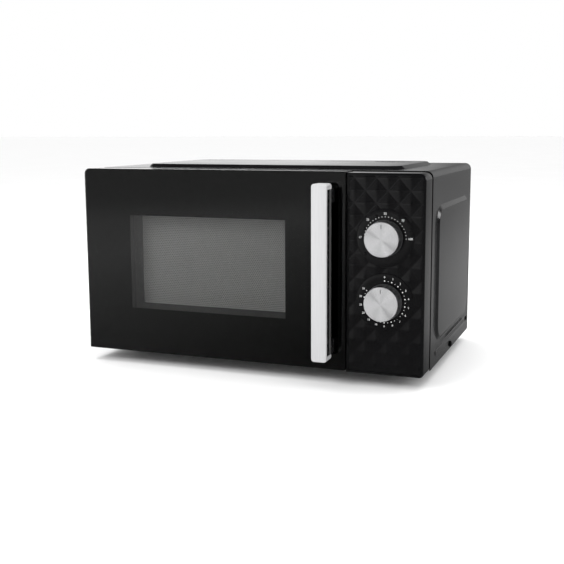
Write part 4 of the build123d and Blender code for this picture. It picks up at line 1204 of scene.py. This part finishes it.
def screen_shade_margin():
    """Dark sheet over the border of the screen, with a rounded opening: painted shade where the window's
    frame shades the screen.
    """
    low, high = SCREEN_BOX
    opening_low = Vector((MARGIN_OPENING[0], 0, MARGIN_OPENING[1]))
    opening_high = Vector((high.x - MARGIN_RIM, 0, high.z - MARGIN_RIM))
    middle = (low + high) / 2
    clear_selection()
    bpy.ops.mesh.primitive_plane_add(size=1, location=(middle.x, low.y - 0.5 * MM, middle.z),
                                     rotation=(math.pi / 2, 0, 0))
    margin = named("screen_shade_margin")
    margin.scale = (high.x - low.x, high.z - low.z, 1)
    settle(margin)
    edit(margin)
    bpy.ops.mesh.select_all(action="SELECT")
    bpy.ops.mesh.inset(thickness=2 * MM, depth=0)
    centre = (opening_low + opening_high) / 2
    ratio = ((opening_high.x - opening_low.x) / (high.x - low.x - 4 * MM), 1,
             (opening_high.z - opening_low.z) / (high.z - low.z - 4 * MM))
    scale_about((middle.x, 0, middle.z), ratio)
    bpy.ops.transform.translate(value=(centre.x - middle.x, 0, centre.z - middle.z))
    bpy.ops.mesh.select_mode(type="VERT")
    bpy.ops.mesh.bevel(offset=3 * MM, segments=6, affect="VERTICES")
    centre.y = low.y - 0.5 * MM
    choose(margin, "FACE", lambda at, normal: (at - centre).length < 6 * MM)
    bpy.ops.mesh.delete(type="FACE")
    bpy.ops.mesh.select_all(action="SELECT")
    push((0, 0.4 * MM, 0))
    leave()
    face_out(margin)
    smooth(margin)
    return margin


class OVEN_OT_window_screen(bpy.types.Operator):
    """Perforates the screen behind the window"""
    bl_idname = "oven.window_screen"
    bl_label = "Window screen"

    def execute(self, context):
        # The margin's dark grey is painted shade along the window's left and bottom.
        wear(screen_shade_margin(), plastic("margin_painted_shade", (0.13, 0.13, 0.13), 0.5), "door", "cavity_paint")
        wear(window_screen(), screen_paint(), "door", "cavity_paint", "door_mesh")
        return {"FINISHED"}


# ---------------------------------------------------------------- stage
CAMERA_PLACE = Vector((0.444277, FACE_Y - 1.014445, FOOT_Z + 0.286839))
CAMERA_TURN = (math.radians(21.2516), math.radians(8.2997), math.radians(-0.2994))
CAMERA_LENS = 58.5516
CAMERA_SHIFT = -0.035461
# The flag is painted shade in the floor's colour for glossy rays; there is no flag object.
PAINTED_FLAG_SKEW = -0.3             # slant of the flag's edge over the floor
# Name, place, target, size, power, and whether the gloss mirrors it.
SOFTBOXES = (
    ("top_softbox", (0.0, 0.25, 1.7), (0, 0, 0.15), (2.2, 1.8), 22, False),
    ("right_softbox", (1.9, 0.85, 0.88), (0.2, -0.05, 0.15), (0.7, 0.7), 8, True),
    ("front_softbox", (-0.9, -1.9, 1.5), (0, -0.1, 0.15), (1.2, 0.9), 22, False),
)


def stage_camera():
    yaw, pitch, roll = CAMERA_TURN
    data = bpy.data.cameras.new("camera")
    data.lens = CAMERA_LENS
    data.sensor_width = 36
    data.shift_y = CAMERA_SHIFT
    data.clip_start = 0.01
    camera = bpy.data.objects.new("camera", data)
    bpy.context.scene.collection.objects.link(camera)
    turn = (Matrix.Rotation(yaw, 4, "Z") @ Matrix.Rotation(math.pi / 2 - pitch, 4, "X")
            @ Matrix.Rotation(roll, 4, "Z"))
    camera.matrix_world = Matrix.Translation(CAMERA_PLACE) @ turn
    bpy.context.scene.camera = camera


def by_ray(tree, kinds, otherwise):
    """Picks a shader by the kind of ray that meets it."""
    ray = tree.nodes.new("ShaderNodeLightPath")
    result = otherwise
    for kind, shader in kinds:
        mix = tree.nodes.new("ShaderNodeMixShader")
        tree.links.new(ray.outputs[kind], mix.inputs[0])
        tree.links.new(result, mix.inputs[1])
        tree.links.new(shader, mix.inputs[2])
        result = mix.outputs[0]
    return result


def stage_floor():
    """White paper. Seen in gloss, its colour is painted darker in front and beside it: a painted flag
    shadow, as a black flag over it would cast.
    """
    clear_selection()
    bpy.ops.mesh.primitive_plane_add(size=60, location=(0, 0, -0.0002))
    floor = settle(named("floor"))
    material, tree, shader, place = begin_finish("floor_paper", (0.94, 0.94, 0.94), 0.9)
    mottle(tree, shader, noise(tree, place, 3), (0.94, 0.94, 0.94), 0.01)
    x, y, _ = separated(tree, place)
    ahead = spread(tree, x, 0.36, 0.06, -0.7, 0.1)
    skew = tree.nodes.new("ShaderNodeMath")
    skew.operation = "MULTIPLY_ADD"
    skew.inputs[1].default_value = PAINTED_FLAG_SKEW
    tree.links.new(x, skew.inputs[0])
    tree.links.new(y, skew.inputs[2])
    beside = spread(tree, skew.outputs[0], 0.0, 1.0, -0.3, 0.05)
    reflected = tree.nodes.new("ShaderNodeMix")
    tree.links.new(beside, reflected.inputs[0])
    tree.links.new(ahead, reflected.inputs[2])
    reflected.inputs[3].default_value = 0.23
    painted_flag_shade = tree.nodes.new("ShaderNodeBsdfDiffuse")
    tree.links.new(reflected.outputs[0], painted_flag_shade.inputs["Color"])
    surface = by_ray(tree, (("Is Glossy Ray", painted_flag_shade.outputs[0]),), shader.outputs[0])
    tree.links.new(surface, tree.nodes["Material Output"].inputs["Surface"])
    floor.data.materials.append(material)


def softbox(name, place, target, size, power, mirrored):
    """Rectangular light turned towards its target."""
    light = bpy.data.lights.new(name, "AREA")
    light.shape = "RECTANGLE"
    light.size, light.size_y = size
    light.energy = power
    holder = bpy.data.objects.new(name, light)
    bpy.context.scene.collection.objects.link(holder)
    holder.visible_glossy = mirrored
    way = Vector(target) - Vector(place)
    holder.matrix_world = Matrix.Translation(place) @ way.to_track_quat("-Z", "Y").to_matrix().to_4x4()


def worked(tree, operation, first, second):
    """One sum on two sockets, or on a socket and a number."""
    node = tree.nodes.new("ShaderNodeMath")
    node.operation = operation
    tree.links.new(first, node.inputs[0])
    if isinstance(second, float):
        node.inputs[1].default_value = second
    else:
        tree.links.new(second, node.inputs[1])
    return node.outputs[0]


def product(tree, first, second):
    return worked(tree, "MULTIPLY", first, second)


def add(tree, first, second):
    return worked(tree, "ADD", first, second)


def stage_world():
    """White room: plain for the eye and the light. The gloss mirrors a bright low band at the back only."""
    world = bpy.data.worlds.new("studio")
    bpy.context.scene.world = world
    world.use_nodes = True
    tree = world.node_tree
    tree.nodes.clear()
    place = tree.nodes.new("ShaderNodeTexCoord").outputs["Generated"]
    x, y, z = separated(tree, place)
    left = spread(tree, x, 1.0, 0.0, -0.34, -0.17)
    right = spread(tree, x, 0.16, 0.42, -0.17, 0.1)
    level = product(tree, add(tree, left, right), spread(tree, y, 0.0, 1.0, 0.3, 0.7))
    level = product(tree, level, spread(tree, z, 1.0, 0.0, 0.26, 0.37))
    front = product(tree, spread(tree, x, 0.3, 0.05, -0.6, -0.15), spread(tree, y, 1.0, 0.0, -0.3, 0.1))
    front = product(tree, front, spread(tree, z, 1.0, 0.0, 0.25, 0.6))
    level = add(tree, add(tree, level, front), 0.02)
    mirrored = tree.nodes.new("ShaderNodeBackground")
    tree.links.new(level, mirrored.inputs["Strength"])
    light = tree.nodes.new("ShaderNodeBackground")
    light.inputs["Strength"].default_value = 1.1
    seen = tree.nodes.new("ShaderNodeBackground")
    seen.inputs["Color"].default_value = (1, 1, 1, 1)
    for each in (mirrored, light):
        each.inputs["Color"].default_value = (1, 1, 1, 1)
    kinds = (("Is Glossy Ray", mirrored.outputs[0]), ("Is Camera Ray", seen.outputs[0]))
    output = tree.nodes.new("ShaderNodeOutputWorld")
    tree.links.new(by_ray(tree, kinds, light.outputs[0]), output.inputs["Surface"])


class OVEN_OT_stage(bpy.types.Operator):
    """Sets the floor, the lights, the world and the camera"""
    bl_idname = "oven.stage"
    bl_label = "Stage"

    def execute(self, context):
        stage_camera()
        stage_floor()
        stage_world()
        for lamp in SOFTBOXES:
            softbox(*lamp)
        context.scene.view_settings.view_transform = "Standard"
        return {"FINISHED"}


# ---------------------------------------------------------------- panel, registration and run
OPERATORS = (
    OVEN_OT_stage,
    OVEN_OT_frame_finishes,
    OVEN_OT_case_skin,
    OVEN_OT_control_panel,
    OVEN_OT_dial_scales,
    OVEN_OT_dial_knobs,
    OVEN_OT_door_handle,
    OVEN_OT_window_screen,
)


class OVEN_PT_sidebar(bpy.types.Panel):
    """Lists the oven's sizes, colours and building steps"""
    bl_idname = "OVEN_PT_sidebar"
    bl_label = "Microwave oven"
    bl_space_type = "VIEW_3D"
    bl_region_type = "UI"
    bl_category = "Oven"

    def draw(self, context):
        for group in (context.scene.oven_sizes, context.scene.oven_colours):
            column = self.layout.column()
            for name in group.__annotations__:
                column.prop(group, name)
        for operator in OPERATORS:
            self.layout.operator(operator.bl_idname)


CLASSES = (OvenSizes, OvenColours, *OPERATORS, OVEN_PT_sidebar)


def register():
    for each in CLASSES:
        bpy.utils.register_class(each)
    bpy.types.Scene.oven_sizes = PointerProperty(type=OvenSizes)
    bpy.types.Scene.oven_colours = PointerProperty(type=OvenColours)


def unregister():
    del bpy.types.Scene.oven_colours
    del bpy.types.Scene.oven_sizes
    for each in reversed(CLASSES):
        bpy.utils.unregister_class(each)


def main():
    register()
    for operator in OPERATORS:
        family, name = operator.bl_idname.split(".")
        getattr(getattr(bpy.ops, family), name)()


if __name__ == "__main__":
    main()
